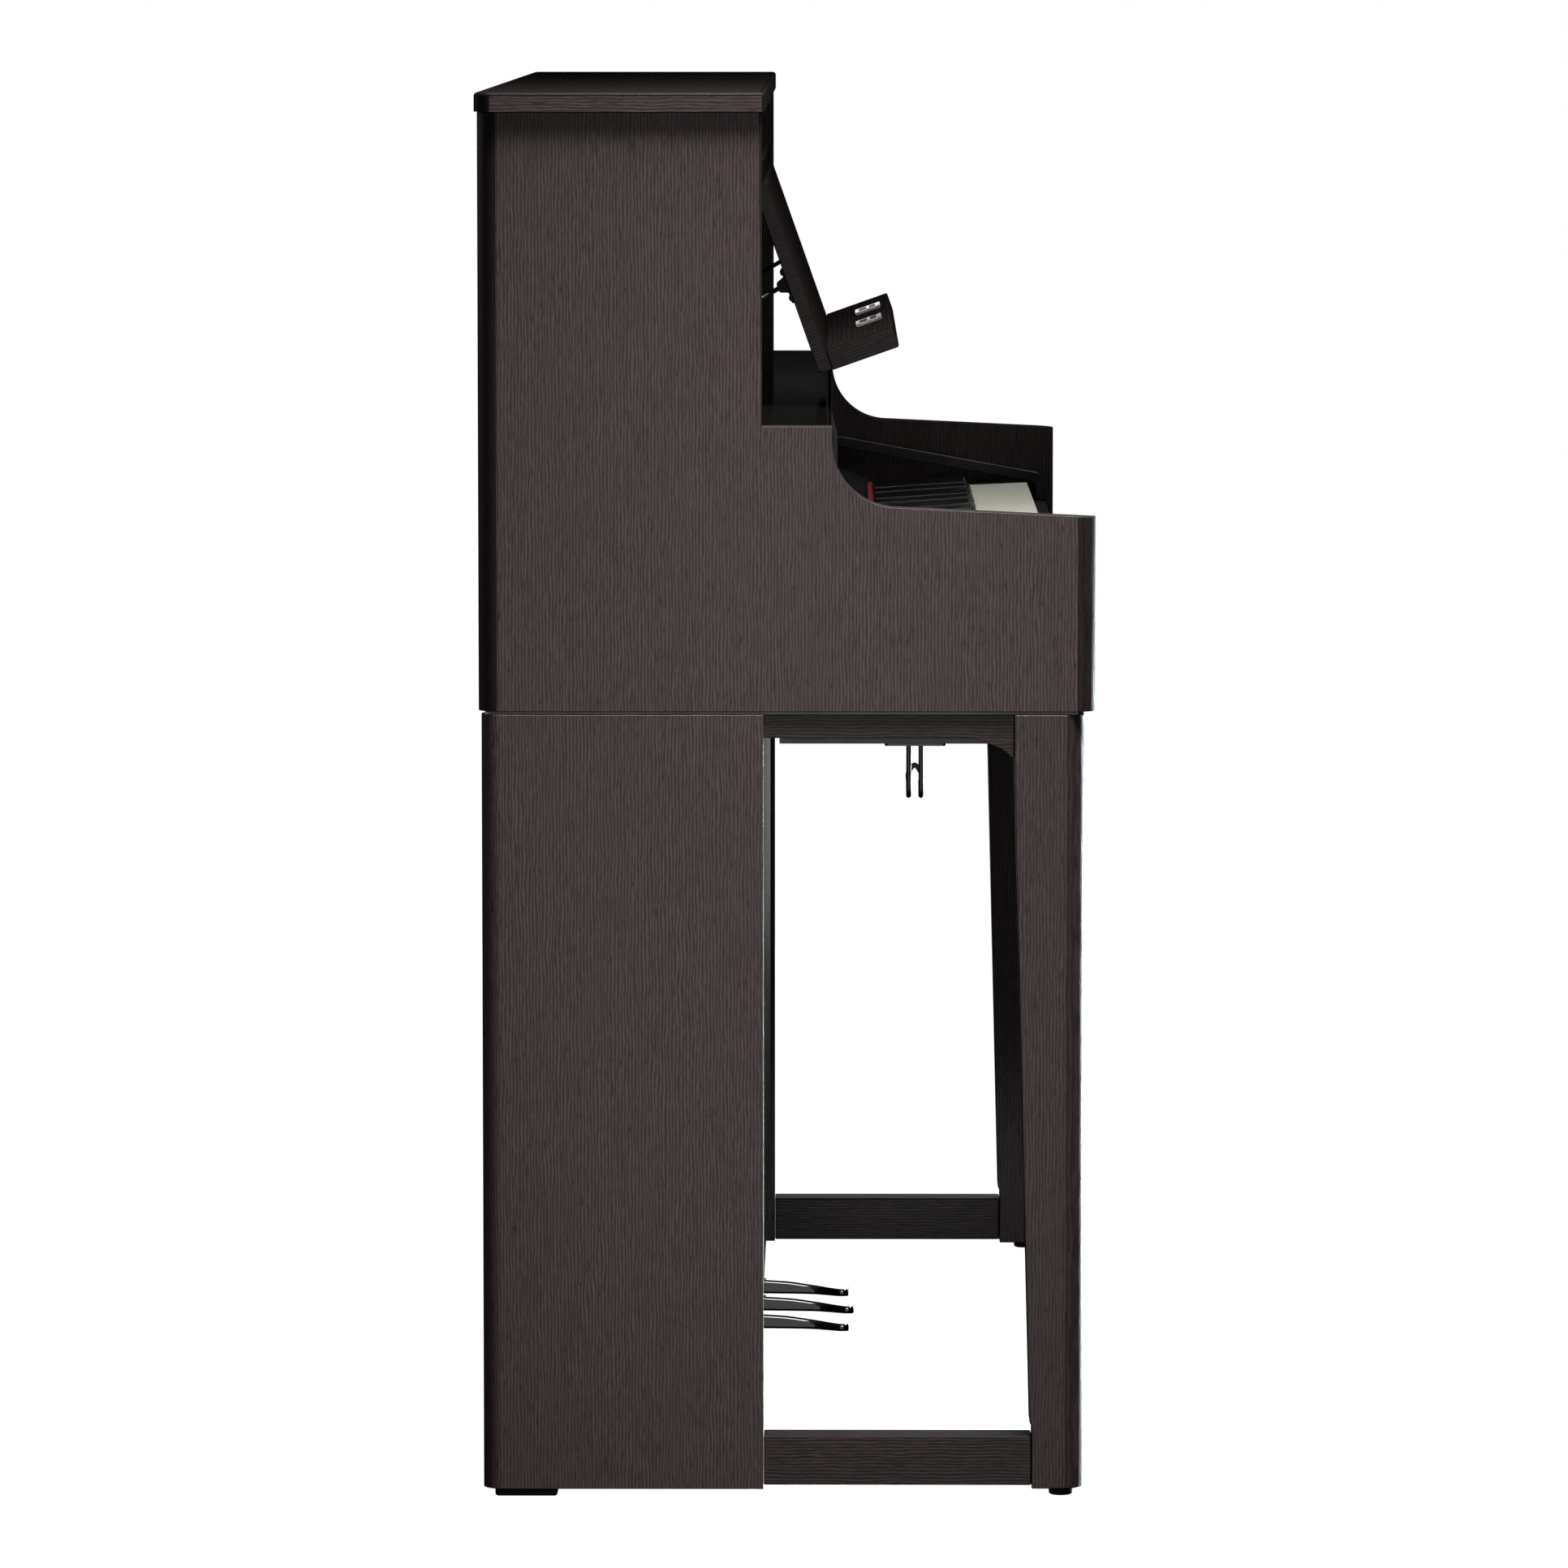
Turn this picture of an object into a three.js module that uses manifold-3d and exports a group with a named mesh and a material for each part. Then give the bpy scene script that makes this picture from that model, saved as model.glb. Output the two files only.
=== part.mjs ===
// Digital piano on its stand: an upright-style console with a sliding keyboard lid, a swing-out
// music desk, three pedals and a hinged top lid. Millimetres, +Z up, the player sits at -Y and
// the treble end is +X. Every mesh is one physical piece and carries the piece's own name.
import * as THREE from "three";
import { mergeVertices } from "three/addons/utils/BufferGeometryUtils.js";
import Module from "manifold-3d";

const wasm = await Module();
wasm.setup();

// ---- driving dimensions ------------------------------------------------------------------
const GAP = 0.3; // between pieces that touch
const HEIGHT = 1117.5;
const LID_HALF = 689; // half the overall width
const SIDE_OUT = 684; // outer face of the side panels
const SIDE_IN = 659; // inner face of the side panels
const INSIDE = SIDE_IN - GAP; // half width of everything that fits between them

const REAR = 243.3; // rear edge of the upper cabinet
const FRONT_UPPER = 18.6; // front edge of the upper cabinet above the arms
const ARM_FRONT = -245.5; // front end of the arms
const SEAM_TOP = 628.9; // underside of the upper cabinet
const SEAM_LOW = 626.3; // top of the stand
const LID_UNDER = 1102.3; // underside of the top lid
const STEP_TOP = 854.5; // level of the shelf and of the step in the sides
const STEP_FRONT = -37.1; // front of that step

const LOWER_REAR = 241;
const LOWER_FRONT = 17.4;
const STAND_BOTTOM = 6.2; // underside of the stand's panels, above the feet
const KEYBED_UNDER = 600.2;
const APRON_UNDER = 607.8;

const LEG_FRONT = -237.2;
const LEG_REAR = -181.6; // at its top
const LEG_FOOT_REAR = -196.6; // at its foot
const LEG_TAPER_TOP = 588.5; // where the leg starts to narrow towards its foot
const LEG_IN = 646; // inner face of the front legs

const DESK_HALF = 369;
const HEADER = [1041.7, 1057.8]; // bottom and top of the bar the desk leans against
const DESK_TILT = THREE.MathUtils.degToRad(19.5);
const DESK_THICK = 11.5;
const DESK_ORIGIN = [7.2, 1010.5]; // a point (Y, Z) on the desk's front face
const LEDGE_DROP = 115.8; // from that point down the desk to the top of its ledge
const LEDGE_DEPTH = 58.5;
const LEDGE_THICK = 17.8;

const SLIDE_SLOPE = THREE.MathUtils.degToRad(3.6); // the keyboard lid runs down this slope
const SLIDE_TRAVEL = 200;
const LID_LIP = [-42, 775]; // (Y, Z) of the open keyboard lid's upper front corner
const LID_BACK = 165;
const LID_SHEET = 7.1;
const MOULDING_SLOPE = THREE.MathUtils.degToRad(10.3); // of the mouldings beside the lid
const MOULDING_WIDTH = 10;

const OCTAVE = 165;
const KEY_PITCH = OCTAVE / 7;
const WHITE_KEYS = 52;
const KEY_SLOT = 1; // gap between two white keys
const KEY_FRONT = -219.9;
const KEY_TOP = 733.6; // top of a white key at its front edge
const KEY_RISE = 0.0452; // the key tops fall towards the rear by this slope
const KEY_UNDER = 713.6;
const KEY_TAIL = 12; // rear end of a key, behind its pivot at Y = 0
const BLACK_FRONT = -167.4;
const BLACK_REAR = -74.6;
const BLACK_TOP = 741.9; // crown of a black key, at its front
const BLACK_UNDER = 714.5;
const FASCIA_FRONT = -67.4;
const FASCIA_BREAK = -42; // where its slope meets its flat top
const FASCIA_LIP = 735.9; // front edge of the fascia behind the keys
const FASCIA_TOP = 746.1;

const PEDAL_PITCH = 98;
const PEDAL_PIVOT = [115, 50]; // (Y, Z)
const PEDAL_TIPS = [-52, -56.5, -52]; // the middle pedal reaches a little farther
const PEDAL_ARM = 7; // half widths of a pedal's arm and of its nose
const PEDAL_NOSE = 15;

// ---- shape helpers -----------------------------------------------------------------------
// An outline from corners [x, y, radius]; a corner with a radius is rounded by a true arc.
function outline(corners) {
  const shape = new THREE.Shape();
  corners.forEach(([x, y, radius = 0], i) => {
    const here = new THREE.Vector2(x, y);
    const [ax, ay] = corners[(i + corners.length - 1) % corners.length];
    const [bx, by] = corners[(i + 1) % corners.length];
    const back = new THREE.Vector2(ax, ay).sub(here).normalize();
    const ahead = new THREE.Vector2(bx, by).sub(here).normalize();
    const place = i === 0 ? "moveTo" : "lineTo";
    if (!radius) {
      shape[place](x, y);
      return;
    }
    const half = Math.acos(THREE.MathUtils.clamp(back.dot(ahead), -1, 1)) / 2;
    const run = radius / Math.tan(half);
    const start = here.clone().addScaledVector(back, run);
    const end = here.clone().addScaledVector(ahead, run);
    const centre = here
      .clone()
      .addScaledVector(back.clone().add(ahead).normalize(), radius / Math.sin(half));
    shape[place](start.x, start.y);
    shape.absarc(
      centre.x,
      centre.y,
      radius,
      Math.atan2(start.y - centre.y, start.x - centre.x),
      Math.atan2(end.y - centre.y, end.x - centre.x),
      back.cross(ahead) > 0,
    );
  });
  return shape;
}

// Extrudes a (Y, Z) outline along X.
function alongX(corners, x0, x1, steps = 6) {
  const g = new THREE.ExtrudeGeometry(outline(corners), {
    depth: x1 - x0,
    bevelEnabled: false,
    curveSegments: steps,
  });
  const turn = new THREE.Matrix4().makeBasis(
    new THREE.Vector3(0, 1, 0),
    new THREE.Vector3(0, 0, 1),
    new THREE.Vector3(1, 0, 0),
  );
  return g.applyMatrix4(turn).translate(x0, 0, 0);
}

// Extrudes an (X, Y) outline along Z.
function alongZ(corners, z0, z1, steps = 6) {
  return new THREE.ExtrudeGeometry(outline(corners), {
    depth: z1 - z0,
    bevelEnabled: false,
    curveSegments: steps,
  }).translate(0, 0, z0);
}

function box([x0, x1], [y0, y1], [z0, z1]) {
  return new THREE.BoxGeometry(x1 - x0, y1 - y0, z1 - z0).translate(
    (x0 + x1) / 2,
    (y0 + y1) / 2,
    (z0 + z1) / 2,
  );
}

// A span made wider at both ends.
const grown = ([low, high], by) => [low - by, high + by];

// A cylinder between two points.
function rod(from, to, radius, sides = 16) {
  const a = new THREE.Vector3(...from);
  const b = new THREE.Vector3(...to);
  const way = b.clone().sub(a);
  const g = new THREE.CylinderGeometry(radius, radius, way.length(), sides);
  const turn = new THREE.Quaternion().setFromUnitVectors(
    new THREE.Vector3(0, 1, 0),
    way.clone().normalize(),
  );
  const middle = a.add(b).multiplyScalar(0.5);
  return g.applyQuaternion(turn).translate(middle.x, middle.y, middle.z);
}

function solid(geometry) {
  const bare = geometry.clone();
  bare.deleteAttribute("normal");
  bare.deleteAttribute("uv");
  const merged = mergeVertices(bare, 1e-4);
  return new wasm.Manifold(
    new wasm.Mesh({
      numProp: 3,
      vertProperties: merged.attributes.position.array,
      triVerts: new Uint32Array(merged.index.array),
    }),
  );
}

function geometryOf(body) {
  const mesh = body.getMesh();
  const g = new THREE.BufferGeometry();
  g.setAttribute("position", new THREE.BufferAttribute(mesh.vertProperties, 3));
  g.setIndex(new THREE.BufferAttribute(mesh.triVerts, 1));
  g.computeVertexNormals();
  return g;
}

const join = (...parts) => geometryOf(parts.map(solid).reduce((a, b) => a.add(b)));
const common = (a, b) => geometryOf(solid(a).intersect(solid(b)));
const cut = (whole, ...holes) =>
  geometryOf(holes.map(solid).reduce((a, b) => a.subtract(b), solid(whole)));

// The same geometry on the other side of the plane X = 0.
function mirrored(geometry) {
  const g = geometry.index ? geometry.toNonIndexed() : geometry.clone();
  const p = g.attributes.position;
  for (let i = 0; i < p.count; i += 3) {
    const [a, b, c] = [0, 1, 2].map((k) => new THREE.Vector3().fromBufferAttribute(p, i + k));
    [a, c, b].forEach((v, k) => p.setXYZ(i + k, -v.x, v.y, v.z));
  }
  g.computeVertexNormals();
  return g;
}

// ---- materials and the exported group ----------------------------------------------------
const WOOD = { color: 0x2b2423, roughness: 0.5, metalness: 0 };
const DARK_WOOD = { color: 0x1c1817, roughness: 0.5, metalness: 0 };
const BLACK_PLASTIC = { color: 0x101011, roughness: 0.45, metalness: 0 };
const RUBBER = { color: 0x0b0b0b, roughness: 0.9, metalness: 0 };
const GREY_STEEL = { color: 0x5c5d5a, roughness: 0.5, metalness: 0.6 };
const DARK_STEEL = { color: 0x3a3a3c, roughness: 0.35, metalness: 0.9 };
const BRIGHT_METAL = { color: 0xd4d4d2, roughness: 0.25, metalness: 1 };
const CHROME = { color: 0xf0f0f0, roughness: 0.06, metalness: 1 };
const IVORY = { color: 0xe9e8dc, roughness: 0.35, metalness: 0 };
const EBONY = { color: 0x0d0d0e, roughness: 0.4, metalness: 0 };
const FELT = { color: 0x8c1320, roughness: 1, metalness: 0 };
const BOARD_GREEN = { color: 0x1f5a36, roughness: 0.6, metalness: 0 };
const PAPER_BLACK = { color: 0x19191a, roughness: 0.85, metalness: 0 };

const piano = new THREE.Group();

function piece(name, geometry, look) {
  const mesh = new THREE.Mesh(geometry, new THREE.MeshStandardMaterial(look));
  mesh.name = name;
  piano.add(mesh);
}

// A left piece is drawn at -X; the right one is its mirror image.
function pair(name, leftGeometry, look) {
  piece(name + "_left", leftGeometry, look);
  piece(name + "_right", mirrored(leftGeometry), look);
}

// ---- cabinet -----------------------------------------------------------------------------
// A left-hand panel between two X planes, its outer vertical edges rounded in plan.
function sidePanel(profile, [xOut, xIn], [yFront, yRear], [rFront, rRear], steps = 6) {
  const plan = [
    [-xOut, yFront, rFront],
    [-xIn, yFront],
    [-xIn, yRear],
    [-xOut, yRear, rRear],
  ];
  return common(alongX(profile, -xOut, -xIn, 16), alongZ(plan, 0, HEIGHT, steps));
}

function upperSides() {
  const slope = 0.0473; // the arms' tops fall towards the front
  const armTop = 792.8; // where that slope would meet the front of the step
  const profile = [
    [REAR, SEAM_TOP],
    [REAR, LID_UNDER - GAP],
    [FRONT_UPPER, LID_UNDER - GAP],
    [FRONT_UPPER, STEP_TOP],
    [STEP_FRONT, STEP_TOP, 1.5],
    [STEP_FRONT, armTop, 51.5],
    [ARM_FRONT, armTop + (ARM_FRONT - STEP_FRONT) * slope, 1.5],
    [ARM_FRONT, SEAM_TOP, 4],
  ];
  pair("upper_side", sidePanel(profile, [SIDE_OUT, SIDE_IN], [ARM_FRONT, REAR], [17, 18]), WOOD);
}

function lowerSides() {
  const profile = [
    [LOWER_REAR, STAND_BOTTOM, 2],
    [LOWER_REAR, SEAM_LOW],
    [LOWER_FRONT, SEAM_LOW],
    [LOWER_FRONT, STAND_BOTTOM],
  ];
  const panel = sidePanel(profile, [SIDE_OUT, SIDE_IN], [LOWER_FRONT, LOWER_REAR], [0.5, 15]);
  pair("lower_side", panel, WOOD);
}

function frontLegs() {
  const profile = [
    [LEG_FRONT, STAND_BOTTOM + 0.5],
    [LEG_FRONT, SEAM_LOW],
    [LEG_REAR, SEAM_LOW],
    [LEG_REAR, LEG_TAPER_TOP],
    [LEG_FOOT_REAR + 1.8, 59.5],
    [LEG_FOOT_REAR, 57.5],
    [LEG_FOOT_REAR, STAND_BOTTOM + 0.5],
  ];
  const leg = sidePanel(profile, [SIDE_OUT, LEG_IN], [LEG_FRONT, LEG_REAR], [17, 1.5]);
  pair("front_leg", leg, WOOD);
}

function standRails() {
  const rail = box([-682.4, -649.3], [LEG_FOOT_REAR + GAP, LOWER_FRONT - GAP], [9.3, 48.6]);
  pair("bottom_rail", rail, WOOD);
  const apron = [
    [LOWER_FRONT - GAP, APRON_UNDER],
    [LOWER_FRONT - GAP, SEAM_LOW],
    [LEG_REAR + GAP, SEAM_LOW],
    [LEG_REAR + GAP, APRON_UNDER - 16.8],
    [-172, APRON_UNDER - 8.9, 14],
    [-150, APRON_UNDER, 20],
  ];
  pair("apron", alongX(apron, -681, -SIDE_IN), DARK_WOOD);
}

function feet() {
  const pad = [
    [181.7, 0, 3],
    [231.6, 0, 3],
    [231.6, STAND_BOTTOM - GAP],
    [181.7, STAND_BOTTOM - GAP],
  ];
  pair("rear_foot", alongX(pad, -682, -661), RUBBER);
  const radius = 9.5;
  const profile = [
    [0, 0],
    [radius - 1.5, 0],
    [radius, 1.5],
    [radius, STAND_BOTTOM + 0.5 - GAP],
    [0, STAND_BOTTOM + 0.5 - GAP],
  ].map(([r, z]) => new THREE.Vector2(r, z));
  const foot = new THREE.LatheGeometry(profile, 24)
    .rotateX(Math.PI / 2)
    .translate(-667, -220.1, 0);
  pair("front_foot", foot, RUBBER);
}

function topLid() {
  const section = [
    [16.6, LID_UNDER, 1],
    [16.6, HEIGHT, 3],
    [245.5, HEIGHT, 3],
    [245.5, LID_UNDER, 1],
  ];
  piece("top_lid", alongX(section, -LID_HALF, LID_HALF, 4), WOOD);
}

function boards() {
  const wide = [-INSIDE, INSIDE];
  const header = [
    [19.5, HEADER[0], 1],
    [19.5, HEADER[1], 1.5],
    [55, HEADER[1]],
    [55, HEADER[0]],
  ];
  const upperFront = join(
    box(wide, [50, 62], [800.5, LID_UNDER - GAP]),
    alongX(header, -DESK_HALF, DESK_HALF, 3),
  );
  piece("upper_front_board", upperFront, WOOD);
  piece("kick_board", box(wide, [21.5, 36.5], [86, SEAM_LOW - GAP]), WOOD);
  const upperBack = box(wide, [228, 234], [SEAM_TOP + GAP, LID_UNDER - GAP]);
  const inletHole = box(grown(INLET.x, GAP), grown(INLET.y, 1), grown(INLET.z, GAP));
  piece("upper_back_panel", cut(upperBack, inletHole), PAPER_BLACK);
  const lowerBack = box(wide, [226, 232], [90, SEAM_LOW - GAP]);
  const ports = [-1, 1].map((side) =>
    rod([side * SPEAKER_X, 220, SPEAKER_Z], [side * SPEAKER_X, 240, SPEAKER_Z], 65, 40),
  );
  piece("lower_back_panel", cut(lowerBack, ...ports), PAPER_BLACK);
  const shelf = [
    [-36.4, STEP_TOP - 16, 1.5],
    [-36.4, STEP_TOP, 5],
    [50 - GAP, STEP_TOP],
    [50 - GAP, STEP_TOP - 16],
  ];
  piece("shelf", alongX(shelf, -INSIDE, INSIDE), DARK_WOOD);
  const steel = box([-681, 681], [-232, 238], [SEAM_LOW + GAP, SEAM_TOP - GAP]);
  piece("base_plate", steel, GREY_STEEL);
  const keybed = [
    [4.8, KEYBED_UNDER],
    [4.8, SEAM_LOW],
    [-232, SEAM_LOW],
    [-232, KEYBED_UNDER + 8.7],
    [-163.8, KEYBED_UNDER + 8.7],
    [-163.8, KEYBED_UNDER],
  ];
  piece("keybed", alongX(keybed, GAP - LEG_IN, LEG_IN - GAP), GREY_STEEL);
  const slip = [
    [-238.3, SEAM_TOP + GAP, 1],
    [-238.3, 714, 3],
    [-221.3, 714, 1.5],
    [-221.3, SEAM_TOP + GAP],
  ];
  piece("key_slip", alongX(slip, -INSIDE, INSIDE, 4), DARK_WOOD);
}

// ---- name board behind the keys ----------------------------------------------------------
function nameBoard() {
  const slotCover = [
    [-36.4, STEP_TOP - 16 - GAP],
    [-36.4, 797.5],
    [-42, 777.7, 1],
    [-30, 780.1],
    [-24.5, 798.5],
    [-24.5, STEP_TOP - 16 - GAP],
  ];
  piece("lid_slot_cover", alongX(slotCover, -INSIDE, INSIDE), DARK_WOOD);
  const fascia = [
    [FASCIA_FRONT, 729.5],
    [FASCIA_FRONT, FASCIA_LIP, 1],
    [FASCIA_BREAK, FASCIA_TOP],
    [10, FASCIA_TOP],
    [10, 729.5],
  ];
  const wells = [...CONTROLS.values()].map((x) => controlRod(x, 5.2, -7.5, 20));
  piece("fascia", cut(alongX(fascia, -INSIDE, INSIDE), ...wells), BLACK_PLASTIC);
  piece("fascia_strip", box([-INSIDE, INSIDE], [-69.7, -67.7], [728.8, 736.5]), BRIGHT_METAL);
  piece("key_felt", box([-611.5, 611.5], [-74.3, -70], [728.4, 733.9]), FELT);
}

// Push buttons stand square to the fascia's sloping top.
const CONTROLS = new Map([
  ["power_button", -580],
  ["volume_button", -545],
]);
const FASCIA_SLOPE = Math.atan2(FASCIA_TOP - FASCIA_LIP, FASCIA_BREAK - FASCIA_FRONT);
const CONTROL_AT = [-54.7, 741]; // (Y, Z) on the slope

function controlRod(x, radius, from, to) {
  const [y, z] = CONTROL_AT;
  const normal = [-Math.sin(FASCIA_SLOPE), Math.cos(FASCIA_SLOPE)];
  const at = (d) => [x, y + normal[0] * d, z + normal[1] * d];
  return rod(at(from), at(to), radius, 24);
}

function controls() {
  CONTROLS.forEach((x, name) => piece(name, controlRod(x, 4.8, -5, 1.6), BLACK_PLASTIC));
}

// ---- keyboard lid and the mouldings that guide it ----------------------------------------
// Height of the sliding lid's top face at a given Y.
const lidPlane = (y) => LID_LIP[1] + (y - LID_LIP[0]) * Math.tan(SLIDE_SLOPE);

function keyboardLid() {
  const [front, top] = LID_LIP;
  const lip = 24;
  const wall = 8;
  const drop = LID_SHEET / Math.cos(SLIDE_SLOPE);
  const section = [
    [front, top, 12],
    [front, top - lip, 2.5],
    [front + wall, top - lip, 1.5],
    [front + wall, lidPlane(front + wall) - drop, 3],
    [LID_BACK, lidPlane(LID_BACK) - drop],
    [LID_BACK, lidPlane(LID_BACK)],
  ];
  piece("keyboard_lid", alongX(section, -652, 652), DARK_WOOD);
}

function lidTracks() {
  const front = LID_LIP[0] - SLIDE_TRAVEL * Math.cos(MOULDING_SLOPE);
  const back = LID_BACK + 30;
  const foot = 714.6;
  const inner = front + MOULDING_WIDTH;
  const drop = MOULDING_WIDTH / Math.cos(MOULDING_SLOPE);
  const upper = (y) => LID_LIP[1] + (y - LID_LIP[0]) * Math.tan(MOULDING_SLOPE);
  const section = [
    [front, upper(front), 12],
    [front, foot, 1],
    [inner, foot, 1],
    [inner, upper(inner) - drop, 5],
    [back, upper(back) - drop],
    [back, upper(back)],
  ];
  pair("lid_track", alongX(section, -INSIDE, -652.6), BLACK_PLASTIC);
  const block = [
    [-221, SEAM_TOP + GAP],
    [-221, 731.5, 2],
    [-70, 728.1],
    [-70, SEAM_TOP + GAP],
  ];
  pair("cheek_block", alongX(block, -652.3, -612.6), BLACK_PLASTIC);
}

// ---- keys --------------------------------------------------------------------------------
const keyPlane = (y) => KEY_TOP - (y - KEY_FRONT) * KEY_RISE;

// Black keys stand after these white keys of an octave that starts at C, off their boundary.
const BLACK_AFTER = new Map([
  [0, -2.2],
  [1, 2.2],
  [3, -3],
  [4, 0],
  [5, 3],
]);
const BLACK_HALF = 5.5;
const NOTCH_HALF = BLACK_HALF + 0.9;
const WHITE_STEP = 5; // the lowest key is the A of an octave, its sixth white key

const keyEdge = (i) => (i - WHITE_KEYS / 2) * KEY_PITCH;

// X of the black key between white key i and the next one, or null where there is none.
function blackCentre(i) {
  if (i < 0 || i >= WHITE_KEYS - 1) return null;
  const shift = BLACK_AFTER.get((i + WHITE_STEP) % 7);
  return shift === undefined ? null : keyEdge(i + 1) + shift;
}

function whiteKey(i) {
  const profile = [
    [KEY_FRONT, KEY_TOP, 1.2],
    [KEY_FRONT, KEY_UNDER],
    [KEY_TAIL, KEY_UNDER],
    [KEY_TAIL, keyPlane(KEY_TAIL)],
  ];
  const blank = alongX(profile, keyEdge(i) + KEY_SLOT / 2, keyEdge(i + 1) - KEY_SLOT / 2, 2);
  const notches = [blackCentre(i - 1), blackCentre(i)]
    .filter((x) => x !== null)
    .map((x) => box([x - NOTCH_HALF, x + NOTCH_HALF], [BLACK_FRONT - 1.1, KEY_TAIL + 1], [710, 741]));
  return notches.length ? cut(blank, ...notches) : blank;
}

// The cap of a black key: narrower at the top, its front face leaning back.
function blackCap(x) {
  const profile = [
    [BLACK_FRONT, BLACK_UNDER],
    [BLACK_FRONT, 731],
    [BLACK_FRONT + 7, BLACK_TOP, 1.8],
    [BLACK_REAR, BLACK_TOP - 5.8],
    [BLACK_REAR, BLACK_UNDER],
  ];
  const taper = new THREE.Shape();
  const half = 4.7;
  const [below, shoulder, above] = [BLACK_UNDER - 4, 729.5, BLACK_TOP + 1];
  taper.moveTo(x - BLACK_HALF, below);
  taper.lineTo(x + BLACK_HALF, below);
  taper.lineTo(x + BLACK_HALF, shoulder);
  taper.lineTo(x + half, above);
  taper.lineTo(x - half, above);
  taper.lineTo(x - BLACK_HALF, shoulder);
  const sides = new THREE.ExtrudeGeometry(taper, { depth: 110, bevelEnabled: false })
    .rotateX(Math.PI / 2)
    .translate(0, -70, 0);
  return common(alongX(profile, x - BLACK_HALF, x + BLACK_HALF, 2), sides);
}

function blackKey(x) {
  const arm = [
    [-80, BLACK_UNDER],
    [-80, 723.9],
    [KEY_TAIL, 722.5],
    [KEY_TAIL, BLACK_UNDER],
  ];
  return join(blackCap(x), alongX(arm, x - 4.5, x + 4.5));
}

// A run of white keys whose tails are joined by one rail.
function whiteBlock(first, last) {
  const keys = [];
  for (let i = first; i <= last; i++) keys.push(whiteKey(i));
  const span = [keyEdge(first) + KEY_SLOT / 2, keyEdge(last + 1) - KEY_SLOT / 2];
  return join(...keys, box(span, [4, KEY_TAIL], [KEY_UNDER, KEY_UNDER + 7.9]));
}

// A run of black keys hung from one strap behind their caps.
function blackBlock(first, last) {
  const centres = [];
  for (let i = first; i <= last; i++) {
    if (blackCentre(i) !== null) centres.push(blackCentre(i));
  }
  const span = [centres[0] - 4, centres[centres.length - 1] + 4];
  const strap = box(span, [BLACK_REAR - 3, -76], [729.5, 732.5]);
  return join(...centres.map(blackCap), strap);
}

// The middle octave's first five keys move one by one; the rest are laid as four runs.
const FREE_FIRST = 23; // middle C
const FREE_LAST = 25;

function keys() {
  piece("white_keys_bass", whiteBlock(0, FREE_FIRST - 1), IVORY);
  piece("white_keys_treble", whiteBlock(FREE_LAST + 1, WHITE_KEYS - 1), IVORY);
  piece("black_keys_bass", blackBlock(0, FREE_FIRST - 1), EBONY);
  piece("black_keys_treble", blackBlock(FREE_LAST + 1, WHITE_KEYS - 1), EBONY);
  ["c", "d", "e"].forEach((note, n) => {
    piece("key_" + note + "4", whiteKey(FREE_FIRST + n), IVORY);
  });
  ["c_sharp", "d_sharp"].forEach((note, n) => {
    piece("key_" + note + "4", blackKey(blackCentre(FREE_FIRST + n)), EBONY);
  });
}

// ---- inside the console ------------------------------------------------------------------
const SPEAKER_X = 400;
const SPEAKER_Z = 350;
const INLET = { x: [500, 546], y: [214, 236.5], z: [670.5, 710.5] };
const INLET_RIM = 10; // wall around the inlet's socket
const INLET_FLOOR = 4.5;

function insides() {
  const floor = SEAM_TOP + GAP;
  const pan = floor + 7.3;
  const chassis = [
    [-216, floor],
    [-216, 698.5],
    [-196, 698.5],
    [-196, pan],
    [-6, pan],
    [-6, KEY_UNDER - 0.8],
    [6, KEY_UNDER - 0.8],
    [6, pan],
    [60, pan],
    [60, floor],
  ];
  piece("key_chassis", alongX(chassis, -611, 611), GREY_STEEL);
  piece("main_board", box([-260, 60], [90, 210], [650.5, 652.5]), BOARD_GREEN);
  const cone = [
    [0, 150],
    [30, 150],
    [32, 178],
    [84, 214],
    [84, 225.5],
    [66, 225.5],
    [24, 190],
    [0, 190],
  ].map(([r, y]) => new THREE.Vector2(r, y));
  const driver = new THREE.LatheGeometry(cone, 40).translate(-SPEAKER_X, 0, SPEAKER_Z);
  pair("speaker", driver, PAPER_BLACK);
  const pocket = box(
    grown(INLET.x, -INLET_RIM),
    [INLET.y[0] + INLET_FLOOR, INLET.y[1] + 1],
    grown(INLET.z, -INLET_RIM),
  );
  piece("power_inlet", cut(box(INLET.x, INLET.y, INLET.z), pocket), BLACK_PLASTIC);
}

// ---- music desk --------------------------------------------------------------------------
// A point of the desk's own plane: "down" along its face, "out" square to it, as (Y, Z).
function deskPoint(down, out) {
  const [y, z] = DESK_ORIGIN;
  return [
    y - down * Math.sin(DESK_TILT) - out * Math.cos(DESK_TILT),
    z - down * Math.cos(DESK_TILT) + out * Math.sin(DESK_TILT),
  ];
}

// A piece drawn in the desk's own plane from corners [down, out, radius].
function onDesk(corners, x0, x1, steps = 6) {
  return alongX(
    corners.map(([down, out, radius]) => [...deskPoint(down, out), radius]),
    x0,
    x1,
    steps,
  );
}

const DESK_TOP = -31;
const DESK_END = LEDGE_DROP + LEDGE_THICK - 0.5; // how far down the desk reaches
const BRACKET_X = 350;
const STAY_DROP = 55; // down the desk to the stays' pivot
const STAY_OUT = -16.6; // and how far behind its front face that pivot is

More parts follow.
